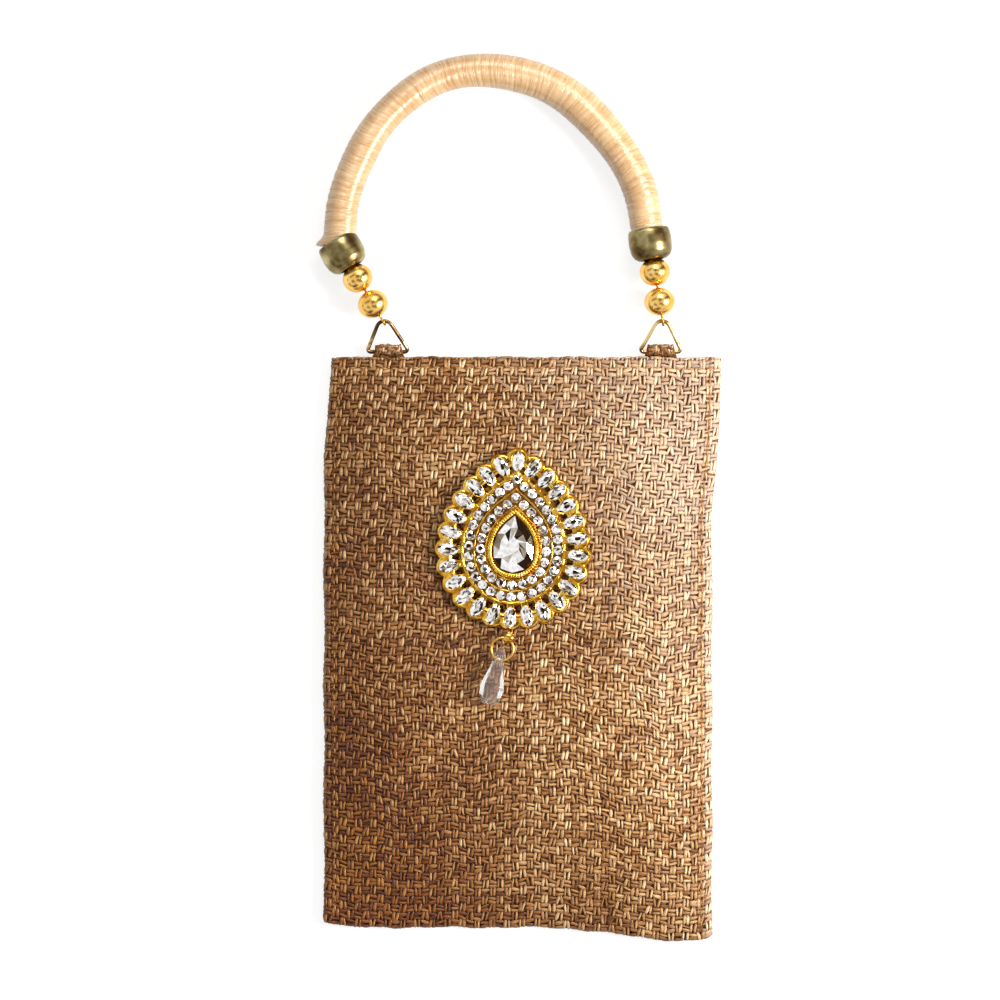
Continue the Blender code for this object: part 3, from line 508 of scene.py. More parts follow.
# The stitching: cotton thread, one lockstitch row up each side seam and one along each side of the hem
STITCH_PITCH = 3.4
STITCH_SHARE = 0.72
STITCH_RADIUS = 0.3
# Waxed cotton thread: two plies twisted together, so it has a low gloss and light and dark flecks
thread_finish = mottled("waxed cotton thread", {"Roughness": 0.5}, 0.4, ((0.3, "#8A5A2C"), (0.7, "#C99C62")))


def stitches(u_ends, v_ends, face):
    """A row of stitches between two places on the cloth: each is a lens that dives at both of its ends."""
    start, end = (cloth(np.array(u_ends[k]), np.array(v_ends[k]), face) for k in (0, 1))
    count = max(2, int(np.linalg.norm(end - start) / STITCH_PITCH))
    t = (np.arange(count)[:, None] + 0.5 + STITCH_SHARE * np.linspace(-0.5, 0.5, 7)[None]) / count
    u = u_ends[0] + (u_ends[1] - u_ends[0]) * t
    v = v_ends[0] + (v_ends[1] - v_ends[0]) * t
    line = cloth(u, v, face)
    up = cloth_normal(u, v, face)
    side = np.cross(up, unit(np.gradient(line, axis=1)))
    dive = np.linspace(-1, 1, 7)[None, :, None] ** 2
    round_it = np.radians(np.arange(0, 360, 60))
    radius = STITCH_RADIUS * (1 - 0.5 * dive[..., None] ** 2)
    ring = side[..., None, :] * np.cos(round_it)[:, None] + up[..., None, :] * np.sin(round_it)[:, None]
    return line[..., None, :] + (up * (0.55 - 0.6 * dive))[..., None, :] + ring * radius


seam_u = 1 - 2 * SEAM_WIDTH / POUCH_WIDTH
hem_v = 1 - HEM_LINE / POUCH_LENGTH
rows = []
for face in (1, -1):
    for u in (-seam_u, seam_u):
        rows.append(stitches((u, u), (0.02, 0.99), face))
    rows.append(stitches((-0.97, 0.97), (hem_v, hem_v), face))
points = np.concatenate(rows)
points[..., 2] = np.maximum(points[..., 2], ABOVE_TABLE)
add_piece("seam_stitches", grid_mesh(points, caps=True), thread_finish, "jute", "pouch", "jute_shell")

# The lining: thin brown cotton poplin, cut like the pouch and hung inside it from the hem
LINING_THICK = 0.6
LINING_BELOW_MOUTH = 2.0
LINING_INSET = 1.65
LINING_INSIDE_SEAM = 4.5
THREAD_SPACING = 0.7
# Cotton poplin: a fine plain weave, dyed brown, matt with a faint grid. Its threads are drawn 0.7 mm apart,
# coarser than the real ones, so that they show; at scale 1 a wave texture's crests are pi / 10 apart.
lining_finish, tree, shader = new_finish("cotton poplin", {"Roughness": 0.85, "Sheen Weight": 0.2})
waves = {
    "Vector": node(tree, "TexCoord").outputs["Object"],
    "Scale": math.pi / 10 / (THREAD_SPACING * MM),
    "Distortion": 1.0,
}
threads = [node(tree, "TexWave", waves, bands_direction=way).outputs["Fac"] for way in "XY"]
woven = node(tree, "Math", {0: threads[0], 1: threads[1]}, operation="MULTIPLY")
shade = node(tree, "ValToRGB", {0: woven}, ((0.0, "#7A5A3A"), (1.0, "#A58560")))
raised = node(tree, "Bump", {"Height": woven, "Strength": 0.4, "Distance": 0.1 * MM})
feed(tree, shader, {"Base Color": shade, "Normal": raised})


def lining_loop(reach, v, inset):
    """A loop of the lining at one level: the pocket drawn in by an inset and wrinkled by a sine."""
    u = np.linspace(-reach, reach, 70)
    return pocket_loop(u, v, inset + 0.1 * (1 + np.sin(40.0 * u + 9.0 * v)), 0.05)


reach = 1 - 2 * (SEAM_WIDTH + LINING_INSIDE_SEAM) / POUCH_WIDTH
levels = np.linspace(0.08, 1 - LINING_BELOW_MOUTH / POUCH_LENGTH, 40)
outer = [lining_loop(reach, v, LINING_INSET) for v in levels]
inner = [lining_loop(reach - 0.01, v, LINING_INSET + LINING_THICK) for v in levels[::-1]]
add_piece("cotton_lining", np.array(outer + inner),
          lining_finish, "lining_cotton", "pouch", "lining", along=True)

# The magnetic snap: two plated steel discs, pressed and riveted through the lining below the mouth
SNAP_EDGE = 0.5
SNAP_GROOVE = 0.25
STUD_PLATE = 1.7
# Nickel-plated steel: pressed and tumbled, so it is a soft mirror with a warm, worn cast
steel_finish = mottled("nickel plated steel", {"Metallic": 1.0, "Roughness": 0.25}, 2.86,
                       ((0.3, "#A89468"), (0.7, "#D9C79A")), detail=3.0)


def around(count, shift=0.0):
    """Evenly spaced angles round a circle."""
    return 2 * math.pi * (np.arange(count) + shift) / count


def circle(count, shift=0.0):
    """Evenly spaced points on a circle of radius 1: cosines and sines."""
    return np.stack([np.cos(around(count, shift)), np.sin(around(count, shift))], axis=-1)


def lift(flat, height):
    """Flat points with a height, one for all of them or one for each."""
    height = np.broadcast_to(np.asarray(height)[..., None], (*flat.shape[:-1], 1))
    return np.concatenate([flat, height], axis=-1)


def lathe(profile, steps, centre, axis):
    """A profile of (radius, height) points turned about an axis through a centre: circles of each radius at
    each height, with Z turned to the axis. The axis is never X."""
    profile = np.array(profile, dtype=float)[:, None]
    points = lift(circle(steps) * profile[..., :1], profile[..., 1])
    side = unit(np.cross((1, 0, 0), axis))
    return points @ np.array([np.cross(side, unit(axis)), side, unit(axis)]) + np.array(centre)


for name, up in (("snap_socket", 1), ("snap_stud", -1)):
    low, high = (np.array(corner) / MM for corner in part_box(name))
    radius = (high[0] - low[0]) / 2
    height = high[2] - low[2]
    thick = height if up > 0 else STUD_PLATE
    groove = thick - SNAP_GROOVE
    profile = [(0.01, 0.0), (radius, 0.0), (radius, thick - SNAP_EDGE), (radius - SNAP_EDGE, thick),
               (radius * 0.8, thick), (radius * 0.76, groove), (radius * 0.34, groove)]
    if up > 0:
        profile += [(1.9, thick), (1.9, 0.3), (0.01, 0.3)]
    else:
        profile += [(1.6, thick), (1.6, height), (0.01, height)]
    centre = ((low[0] + high[0]) / 2, (low[1] + high[1]) / 2, low[2] if up > 0 else high[2])
    add_piece(name + "_disc", lathe(profile, 48, centre, np.array((0, 0, up))),
              steel_finish, "snap_steel", "pouch", name, sharp=30, weld=True)

# The tabs: short strips of the same jute, looped round the bars of the rings and sewn into the mouth.
# They are squeezed between the ring's legs, so their weave is crumpled.
TAB_WIDTH = 10.6
TAB_THICK = 1.0
TAB_TAIL = 13.0
TAB_NARROW = 0.2
TAB_PAIRS_ACROSS = 4
TAB_PAIRS_ALONG = 12
RING_WIRE = 1.5
joints = {joint["name"]: joint for joint in frame["joints"]}


def joint_place(name):
    """A joint's place at rest, in mm."""
    return np.array(joints[name]["pos_m"]) / MM


def reaches(line):
    """How far along a line each of its points is."""
    return np.concatenate([[0.0], np.cumsum(np.linalg.norm(np.diff(line, axis=0), axis=-1))])


def on_tab(s, t, bar):
    """Places, outward directions and painted light on a tab's outer skin, where s and t count pairs of
    yarns. Its section is a hairpin round the bar, drawn out above it; it narrows upwards and crumples by
    sines. Its colour is painted paler across the middle and darker towards its edges."""
    outer = RING_WIRE / 2 + 0.4 + TAB_THICK - 0.35
    turn = np.radians(np.linspace(-75, 255, 60))
    round_bar = outer * np.sin(turn) * np.where(np.sin(turn) > 0, 1.3, 1.0)
    y = np.concatenate([[-TAB_TAIL, -3.6], round_bar, [-3.6, -TAB_TAIL]])
    z = np.concatenate([[0.9, 0.95], outer * np.cos(turn), [-0.95, -0.9]])
    reach = reaches(np.stack([y, z], axis=-1))
    where = np.clip(t * PAIR_ALONG, 0, reach[-1])
    slopes = (np.gradient(y, reach), np.gradient(z, reach))
    y, z, dy, dz = (np.interp(where, reach, c) for c in (y, z, *slopes))
    across = np.clip(2 * s / TAB_PAIRS_ACROSS - 1, -1, 1)
    x = across * TAB_WIDTH / 2 * (1 - TAB_NARROW * np.clip((y + outer) / outer, 0, 1))
    near = np.clip(1 - np.abs(y) / 6.0, 0, 1)
    crumple = np.sin(6.5 * across + 1.1 * y + 0.4 * bar[0]) * np.sin(2.3 * across - 1.7 * z + 1.0)
    out = unit(np.stack([0 * y, dz, -dy], axis=-1))
    places = np.stack([x, y, z * (1 - 0.2 * np.abs(across) ** 6)], axis=-1) + bar
    places = places + out * (near * 0.35 * crumple)[..., None]
    # Painted light: paler across the middle of the tab, darker towards its edges
    return places, out, 0.2 - 0.6 * np.abs(across) ** 4 + 0 * y


for side in ("left", "right"):
    bar = joint_place(side + "_ring_swing")
    s, t = np.linspace(0, TAB_PAIRS_ACROSS, 25), np.linspace(0, TAB_PAIRS_ALONG, 40)
    add_piece(side + "_tab_ground", on_tab(*np.meshgrid(s, t, indexing="ij"), bar)[0],
              ground_finish, "jute", "pouch", side + "_tab", caps=True)
    for warp in (True, False):
        weave_yarns(
            f"{side}_tab_{'warp' if warp else 'weft'}", lambda s, t: on_tab(s, t, bar), TAB_PAIRS_ACROSS,
            TAB_PAIRS_ALONG, warp, (-0.66, -0.34, 0.0, 0.34, 0.66), 31 + warp, side + "_tab")

# The triangular rings: brass wire bent round three corners, gilt and then antiqued, so the legs are
# dark brown with the gold showing along their edges.
RING_WIDTH = 13.9
RING_WIRE_DRAWN = 1.3
RING_CORNER = 0.9
RING_APEX_ROUND = 2.6
APEX_SHIFT = {"left": -1.6, "right": 0.5}
handle_pivot = joint_place("handle_swing")


def tube(path, radius, normal, sides, closed=False):
    """A round wire along a path in a plane: circles square to the path, in the plane's normal and side."""
    ends = np.roll(path, -1, axis=0) - np.roll(path, 1, axis=0)
    ahead = unit(ends if closed else np.gradient(path, axis=0))
    side = unit(np.cross(normal, ahead))
    x, y = circle(sides).T[..., None]
    ring = side[:, None] * x + np.cross(ahead, side)[:, None] * y
    return path[:, None] + ring * np.reshape(radius, (-1, 1, 1))


def rounded(corners, rounds, steps):
    """A closed line round corners, each an arc of its own radius that is tangent to both sides."""
    path = []
    for k, corner in enumerate(corners):
        before = unit(corners[k - 1] - corner)
        after = unit(corners[(k + 1) % len(corners)] - corner)
        half = math.acos(np.clip(before @ after, -1, 1)) / 2
        middle = corner + unit(before + after) * rounds[k] / math.sin(half)
        start = corner + before * rounds[k] / math.tan(half) - middle
        square = np.array([-start[1], start[0]])
        sweep = np.linspace(0, math.pi - 2 * half, steps)[:, None]
        path.append(middle + start * np.cos(sweep) + square * np.sin(sweep))
    return np.concatenate(path)


# Antiqued gilt wire: gilt brass, darkened in a bath and rubbed again, so it is brown with bright gold places
# The two rings are one material: the left ring's copy is painted darker, as shade, and the right ring's
# lighter, as painted light from the lamp on the right
ring_finishes = {
    side: mottled(name, {"Metallic": 1.0, "Roughness": 0.24}, 4.76, stops, detail=3.0, rough=(0.42, 0.2))
    for side, name, stops in (
        ("left", "dark antiqued gilt wire", ((0.4, "#3A2A1E"), (0.52, "#7C6040"), (0.62, "#D9BC84"))),
        ("right", "light antiqued gilt wire", ((0.3, "#6B4F2A"), (0.45, "#C9A765"), (0.62, "#F0D9A0"))),
    )
}
for side, shift in APEX_SHIFT.items():
    bar = joint_place(side + "_ring_swing")
    rise = math.atan2(handle_pivot[2] - bar[2], handle_pivot[1] - bar[1])
    height = math.hypot(handle_pivot[2] - bar[2], handle_pivot[1] - bar[1])
    peak = height
    for _ in range(8):
        peak = height + RING_APEX_ROUND * (1 / math.sin(math.atan(RING_WIDTH / 2 / peak)) - 1)
    corners = np.array([(-RING_WIDTH / 2, 0.0), (RING_WIDTH / 2, 0.0), (shift, peak)])
    flat = rounded(corners, (RING_CORNER, RING_CORNER, RING_APEX_ROUND), 9)
    path = np.stack([flat[:, 0], flat[:, 1] * math.cos(rise), flat[:, 1] * math.sin(rise)], axis=-1) + bar
    points = tube(path, RING_WIRE_DRAWN / 2, (0, -math.sin(rise), math.cos(rise)), 14, closed=True)
    add_piece(side + "_wire_ring", points,
              ring_finishes[side], "antiqued_gold", side + "_ring", side + "_ring", along=True)

# The bead chains: on each side an eye wire hooks round the ring and runs up through two hollow beads of
# polished, gold-plated brass into the handle's end cup.
EYE_WIRE = 0.8
WIRE_PLAY = 0.25
BEAD_DIAMETER = 10.0
BEAD_LENGTH = 9.2
BEAD_HOLE = 1.6
BEAD_PITCH = 9.8
CUP_LENGTH = 10.0
CUP_NEST = 0.5
TOUCH = 0.3
# Gold plate: cast or bent, then plated and handled, so it is a warm mirror with dull orange places
gold_finish = mottled("gold plate", {"Metallic": 1.0, "Roughness": 0.2}, 2.38, (
    (0.3, "#B9791C"), (0.5, "#E3AE3C"), (0.7, "#F7D679")), detail=3.0, rough=(0.3, 0.12))
# Polished gold plate: hollow beads, plated and tumbled, so they are bright and slightly uneven mirrors
bead_finish = mottled("polished gold plate", {"Metallic": 1.0, "Roughness": 0.24}, 3.33, (
    (0.3, "#EDB34E"), (0.7, "#F9D583")), bump=(0.06, 0.4))
eye_radius = RING_WIRE / 2 + WIRE_PLAY + EYE_WIRE / 2
first_bead = RING_WIRE / 2 + WIRE_PLAY + EYE_WIRE + BEAD_LENGTH / 2
cup_reach = first_bead + BEAD_PITCH + BEAD_LENGTH / 2 + CUP_LENGTH / 2 - CUP_NEST
hole = BEAD_HOLE / 2
lip = math.asin((hole + 0.3) / (BEAD_DIAMETER / 2))
polar = np.linspace(lip, math.pi - lip, 30)
ball = np.stack([BEAD_DIAMETER / 2 * np.sin(polar), BEAD_LENGTH / 2 * np.cos(polar)], axis=-1)
neck = ball[0, 1]
bead_profile = [(hole, 0.0), (hole, neck - 0.1), (hole + 0.1, neck), *ball,
                (hole + 0.1, -neck), (hole, 0.1 - neck)]
feet = {}
for side, shift in APEX_SHIFT.items():
    way = np.array(joints[side + "_lower_bead_spin"]["axis"])
    foot = np.array([joint_place(side + "_ring_swing")[0] + shift, handle_pivot[1], handle_pivot[2]])
    feet[side] = (foot, way)
    square = unit(np.cross((1, 0, 0), way))
    turn = np.linspace(0.62, 2 * math.pi, 30)[:, None]
    eye = square * np.sin(turn) * eye_radius + way * np.cos(turn) * eye_radius
    stem = way * np.linspace(eye_radius + 0.6, cup_reach, 12)[:, None]
    points = tube(np.concatenate([eye, stem]) + foot, EYE_WIRE / 2, np.cross(square, way), 10)
    add_piece(side + "_bent_wire", points,
              gold_finish, "gold_plate", "handle", side + "_eye_wire", caps=True)
    for level in ("lower", "upper"):
        body = f"{side}_{level}_bead"
        add_piece(body + "_shell", lathe(bead_profile, 48, joint_place(body + "_spin"), way),
                  bead_finish, "polished_gold", body, body, along=True)

# The end cups: barrels spun from brass sheet and antiqued green-brown, crimped over the handle's ends
CUP_RADIUS = 7.1
CUP_WALL = 0.8
CUP_MOUTH_RADIUS = 6.4
CUP_FOOT_RADIUS = 4.6
# Antiqued brass: spun sheet, darkened and waxed, so it is a green-brown mirror with dull dark places
brass_finish = mottled("antiqued brass", {"Metallic": 1.0, "Roughness": 0.28}, 7.7, (
    (0.35, "#5E4A2A"), (0.5, "#94875A"), (0.65, "#C9BE8C")), detail=4.0, rough=(0.42, 0.2))


def cup_profile():
    """The barrel's wall: outside a smooth curve through five radii from mouth to foot, inside the same less
    the wall, and a rolled lip at the mouth."""
    half = CUP_LENGTH / 2
    heights = np.linspace(half, -half, 24)
    knots = [-half, -half * 0.82, -half * 0.5, 0.0, half * 0.55, half * 0.88, half]
    radii = [CUP_FOOT_RADIUS, CUP_RADIUS * 0.83, CUP_RADIUS * 0.95, CUP_RADIUS, CUP_RADIUS * 0.985,
             CUP_MOUTH_RADIUS + 0.35, CUP_MOUTH_RADIUS - 0.1]
    outside = np.stack([np.interp(heights, knots, radii), heights], axis=-1)
    inside = np.stack([np.interp(heights[::-1], knots, radii) - CUP_WALL, heights[::-1]], axis=-1)
    return np.concatenate([outside, inside])


for side, (foot, way) in feet.items():
    add_piece(side + "_end_cup", lathe(cup_profile(), 56, foot + way * cup_reach, way),
              brass_finish, "antiqued_brass", "handle", side + "_cup", sharp=50, along=True)

# The handle: a stiff rope core closely wound with glossy rayon silk. The turns lie side by side as
# uneven rings, and the light runs along them in one broken streak.
ARCH_RADIUS = 49.8
ARCH_CENTRE = (-8.0, 136.6)
WINDING_RADIUS = 5.4
TURN_WIDTH = 2.1
HANDLE_ROWS = 620
HANDLE_SIDES = 44
left_way = feet["left"][1]
slope = math.atan2(-left_way[2], left_way[1])


def arch_bend(degrees):
    """How far the hand-bent handle leaves a true half circle, in mm: three Gaussians round the arch."""
    shoulder = -2.3 * np.exp(-(((degrees - 40) / 24) ** 2))
    crown = 1.6 * np.exp(-(((degrees - 108) / 20) ** 2))
    flat = -0.9 * np.exp(-(((degrees - 156) / 12) ** 2))
    return shoulder + crown + flat


def handle_line(count):
    """The handle's middle line and its lengths: from the left cup's rim, up and round a half circle and down
    to the right cup's rim, smoothed and evenly spaced, then leaned onto the table about the pivot."""
    ends = []
    for side in ("left", "right"):
        foot, way = feet[side]
        rim = foot + way * (cup_reach + CUP_LENGTH / 2 + TOUCH - 2.5) - handle_pivot
        ends.append((rim[0], rim[1] / math.cos(slope)))
    angle = np.linspace(math.pi, 0, 160)
    centre_y = ARCH_CENTRE[1] - handle_pivot[1]
    radius = ARCH_RADIUS + arch_bend(np.degrees(angle))
    arch = np.stack([ARCH_CENTRE[0] + radius * np.cos(angle), centre_y + radius * np.sin(angle)], axis=-1)
    runs = [np.linspace(ends[0], arch[0], 12)[:-1], arch, np.linspace(arch[-1], ends[1], 12)[1:]]
    line = np.concatenate(runs)
    for _ in range(20):
        line[1:-1] = (line[:-2] + 2 * line[1:-1] + line[2:]) / 4
    reach = reaches(line)
    even = np.linspace(0, reach[-1], count)
    x, y = (np.interp(even, reach, line[:, k]) for k in (0, 1))
    path = np.stack([x, y * math.cos(slope), -y * math.sin(slope)], axis=-1) + handle_pivot
    return path, even


def winding(path, reach):
    """The wound surface: the radius follows each turn's half ellipse, with turns of uneven width and height
    that lean a little, and slow swellings along the handle."""
    chance = np.random.default_rng(5)
    widths = TURN_WIDTH * chance.uniform(0.55, 1.5, 200)
    edges = np.concatenate([[-5.0], -5.0 + np.cumsum(widths)])
    heights = chance.uniform(0.05, 0.26, 201)
    angle = around(HANDLE_SIDES)
    along = reach[:, None] + 0.55 * np.sin(angle + 0.8) + 0.25 * np.sin(3 * angle + reach[:, None] / 9)
    k = np.clip(np.searchsorted(edges, along) - 1, 0, 199)
    share = (along - edges[k]) / (edges[k + 1] - edges[k])
    to_end = np.minimum(reach, reach[-1] - reach)[:, None]
    bold = 1 + 0.9 * np.exp(-((to_end - 14) / 14) ** 2)
    ridge = bold * heights[k] * (np.sqrt(np.clip(1 - (2 * share - 1) ** 2, 0, 1)) - 0.8)
    swell = 0.1 * np.sin(reach / 11.0) + 0.08 * np.sin(reach / 4.7 + 1.0)
    thick = 0.95 * np.exp(-(((reach - 0.71 * reach[-1]) / 26.0) ** 2))
    flare = 2.4 * np.exp(-((reach / 2.2) ** 2))[:, None] * np.clip(np.cos(angle), 0, 1) ** 2
    radius = WINDING_RADIUS - 0.18 + ridge + (swell + thick)[:, None] + flare
    normal = np.array((0.0, math.sin(slope), math.cos(slope)))
    side = np.cross(normal, unit(np.gradient(path, axis=0)))
    ring = side[:, None] * np.cos(angle)[:, None] + normal * np.sin(angle)[:, None]
    tone = chance.uniform(0, 1, 200)[k]
    marks = np.stack([along, np.broadcast_to(angle, along.shape), tone], axis=-1)
    return path[:, None] + ring * radius[..., None], marks


# Rayon silk thread: smooth filaments laid side by side, so it shines in a streak across them. The filaments
# are drawn 0.25 mm wide, coarser than real, so that they show.
silk_finish, tree, shader = new_finish("rayon silk thread", {
    "Roughness": 0.3, "IOR": 1.65, "Anisotropic": 0.85, "Specular IOR Level": 1.0})
run = node(tree, "Attribute", attribute_name="run").outputs["Vector"]
run = node(tree, "VectorTransform", {0: run}, vector_type="VECTOR",
           convert_from="OBJECT", convert_to="WORLD")
wound = node(tree, "Attribute", attribute_name="wound").outputs["Vector"]
tone = node(tree, "SeparateXYZ", {0: wound}).outputs[2]
filament = node(tree, "VectorMath", {0: wound, 1: (4.0, 0.8, 20.0)}, operation="MULTIPLY")
strands = node(tree, "TexNoise", {"Vector": filament, "Scale": 1.0, "Detail": 3.0})
mixed = node(tree, "Math", {0: tone, 1: 0.14, 2: strands}, operation="MULTIPLY_ADD")
shade = node(tree, "ValToRGB", {0: mixed}, (
    (0.3, "#B07E48"), (0.5, "#D8AA72"), (0.68, "#EAC492"), (0.85, "#F6D8B2")))
raised = node(tree, "Bump", {"Height": strands, "Strength": 0.45, "Distance": 0.3 * MM})
feed(tree, shader, {"Tangent": run, "Base Color": shade, "Normal": raised})
path, reach = handle_line(HANDLE_ROWS)
points, wound_marks = winding(path, reach)
winding_mesh = grid_mesh(points, caps=True)
mark(winding_mesh, "wound", wound_marks)
mark(winding_mesh, "run", np.broadcast_to(np.gradient(path, axis=0)[:, None], points.shape))
add_piece("silk_winding", winding_mesh, silk_finish, "silk_thread", "handle", "handle_winding", sharp=60)
ROPE_STRAND = 1.05
# Cotton rope: laid from undyed yarn, so it is pale and matt with slanting strands
rope_finish, tree, shader = new_finish("cotton rope", {"Roughness": 0.9})
where = node(tree, "TexCoord").outputs["Object"]
lay = {"Vector": where, "Scale": math.pi / 10 / (ROPE_STRAND * MM), "Distortion": 3.0}
strand = node(tree, "TexWave", lay).outputs["Fac"]
feed(tree, shader, {"Base Color": node(tree, "ValToRGB", {0: strand}, ((0.0, "#B8A684"), (1.0, "#DCCDAE")))})
frame["nodes"]["handle_core"].data.materials.clear()
frame["nodes"]["handle_core"].data.materials.append(rope_finish)

# The brooch frame: one openwork casting in gold-plated white metal. A scalloped ring carries a boat-shaped
# setting for each marquise stone, and plain wires stand round the two rows of round stones.
BROOCH_PLACE = np.array((-1.6, 30.0, 15.75))
BROOCH_LEAN = math.radians(2.9)
PEAR_SHARPNESS = 1.45
MARQUISE_PEAR = (21.1, 29.6)
OUTER_ROW_PEAR = (14.5, 23.6)
INNER_ROW_PEAR = (10.6, 17.6)
BEZEL_PEAR = (7.6, 13.3)
CRYSTAL_PEAR = (6.4, 11.7)
MARQUISE_COUNT = 26
MARQUISE_LENGTH = 6.5
MARQUISE_WIDTH = 3.9
PLATE_THICK = 0.9
SETTING_RIM = 0.75
PLAIN_EDGE = 2.2
LOBE_STEPS = 12


def pear(size, count, start=0.0, sharpening=0.0):
    """Evenly spaced points round a pear and their outward normals: below the middle a circle, above it the
    sine is raised to a power so that it draws out to a tip. Sharpening raises the power towards the tip."""
    half_width, tip = size
    turn = np.linspace(0, 2 * math.pi, 2881)
    high = np.cos(turn) > 0
    sine = np.sin(turn)
    power = PEAR_SHARPNESS + sharpening * (np.cos(turn) - 0.45)
    x = half_width * np.where(high, np.sign(sine) * np.abs(sine) ** power, sine)
    y = np.where(high, tip, half_width) * np.cos(turn)
    reach = reaches(np.stack([x, y], axis=-1))
    want = reach[-1] * (np.arange(count) + start) / count
    before, after = (want - 0.25) % reach[-1], (want + 0.25) % reach[-1]
    dx, dy = (np.interp(after, reach, c) - np.interp(before, reach, c) for c in (x, y))
    points = np.stack([np.interp(want, reach, x), np.interp(want, reach, y)], axis=-1)
    return points, unit(np.stack([-dy, dx], axis=-1))


def on_brooch(points):
    """Places points of the brooch, whose middle is the pear's, on the front of the pouch."""
    c, s = math.cos(BROOCH_LEAN), math.sin(BROOCH_LEAN)
    return points @ np.array([(c, -s, 0.0), (s, c, 0.0), (0.0, 0.0, 1.0)]) + BROOCH_PLACE


def brooch_rings():
    """The casting's top: rings of points from the inner wire to the scalloped edge, each some way out from
    the pear at some height. The outer two swell out behind each stone by a power of a cosine."""
    count = MARQUISE_COUNT * LOBE_STEPS
    flat, out = pear(MARQUISE_PEAR, count)
    wave = np.abs(np.cos(math.pi * np.arange(count) / LOBE_STEPS)) ** 0.8
    lobe = MARQUISE_LENGTH / 2 + SETTING_RIM
    edge = PLAIN_EDGE + (lobe - PLAIN_EDGE) * wave
    levels = ((-lobe - 1.2, 0.9), (-lobe - 0.2, 0.9), (-2.6, 1.0), (-1.3, 1.15), (0.2, 1.1),
              (edge * 0.75, 1.0), (edge, 0.7))
    return np.array([lift(flat + out * np.reshape(away, (-1, 1)), height) for away, height in levels])


# The cells between two settings are left open in the second and third rings
rings = brooch_rings()
columns = rings.shape[1]
index = np.arange(len(rings) * columns).reshape(len(rings), columns)
index = np.hstack([index, index[:, :1]])
from_gap = np.abs(np.arange(columns) % LOBE_STEPS - (LOBE_STEPS - 1) / 2)
cells = []
for k, opening in enumerate((0, 2.6, 1.6, 0, 0, 0)):
    band = np.stack([index[k + 1, :-1], index[k + 1, 1:], index[k, 1:], index[k, :-1]], axis=-1)
    cells.append(band[from_gap >= opening])
casting_mesh = bpy.data.meshes.new("brooch_casting")
corners = on_brooch(rings.reshape(-1, 3)) * MM
casting_mesh.from_pydata(corners.tolist(), [], np.concatenate(cells).tolist())
casting = add_piece("brooch_casting", casting_mesh, gold_finish, "gold_plate", "pouch", "brooch_frame",
                    sharp=40)
wall = casting.modifiers.new("cast wall", "SOLIDIFY")
wall.thickness = PLATE_THICK * MM
wall.offset = -1.0

stone_flat, stone_out = pear(MARQUISE_PEAR, MARQUISE_COUNT)
stone_side = np.stack([stone_out[:, 1], -stone_out[:, 0]], axis=-1)


def on_stones(levels, count, ripple=0.0):
    """Copies of a form on every marquise stone. Each level has a scale, a height and a turn: a boat outline
    that points outwards, whose sine is sharpened so that both ends come to a tip."""
    form = []
    for scale, height, shift in levels:
        turn = around(count, shift)
        outward = np.cos(turn) * MARQUISE_LENGTH / 2 * scale
        sideways = np.sin(turn) * np.abs(np.sin(turn)) ** 0.15 * MARQUISE_WIDTH / 2 * scale
        form.append(np.stack([outward, sideways, height + ripple * np.cos(3.0 * np.arange(count))], axis=-1))
    form = np.array(form)
    place, out, side = (part[:, None, None] for part in (stone_flat, stone_out, stone_side))
    return on_brooch(lift(place + out * form[..., :1] + side * form[..., 1:2], form[..., 2]))


collar = ((1.0, 0.7, 0), (1.17, 0.75, 0), (1.16, 1.7, 0), (1.1, 2.0, 0), (1.0, 1.9, 0))
add_piece("marquise_settings", on_stones(collar, 28),
          gold_finish, "gold_plate", "pouch", "brooch_frame", sharp=40, along=True)

wires = []
for size, height, radius in (((16.6, 26.3), 1.1, 0.42), ((12.6, 20.5), 1.2, 0.4), ((8.9, 15.0), 1.3, 0.35)):
    flat = pear(size, 150, sharpening=1.2)[0]
    wires.append(tube(lift(flat, height), radius, (0, 0, 1), 8, closed=True))
add_piece("row_wires", on_brooch(np.array(wires)),
          gold_finish, "gold_plate", "pouch", "brooch_frame", along=True)

# Shaded gilt: the casting's bottom, plated but never polished, so it is rough, and painted dark brown as the
# shade that falls behind the stones
shade_painted_gilt = mottled("gilt painted dark as shade behind the stones", {"Metallic": 1.0, "Roughness": 0.5}, 1.67,
                    ((0.35, "#4E2F10"), (0.65, "#A87A34")))
flat = pear((17.6, 27.2), 120)[0]
levels = ((0.0001, 0.25), (0.0001, 0.85), (1.0, 0.85), (1.0, 0.25))
points = on_brooch(np.array([lift(flat * scale, height) for scale, height in levels]))
add_piece("brooch_base", points,
          shade_painted_gilt, "gold_plate", "pouch", "brooch_frame", sharp=30, along=True, weld=True)

# The stones: pressed lead-glass rhinestones with silver foil behind them. Facets that face the light are
# white and those that face the room's dim patches are dark.
ROUND_STONE = 3.25
# Foiled rhinestone: pressed and fire-polished lead glass over foil, so each facet is a clear mirror
foil_finish = mottled("foiled rhinestone", {
    "Metallic": 1.0, "Roughness": 0.04, "Coat Weight": 1.0, "Coat Roughness": 0.02, "Coat IOR": 1.55,
}, 1.43, ((0.3, "#D9D5D2"), (0.6, "#FFFFFF")))
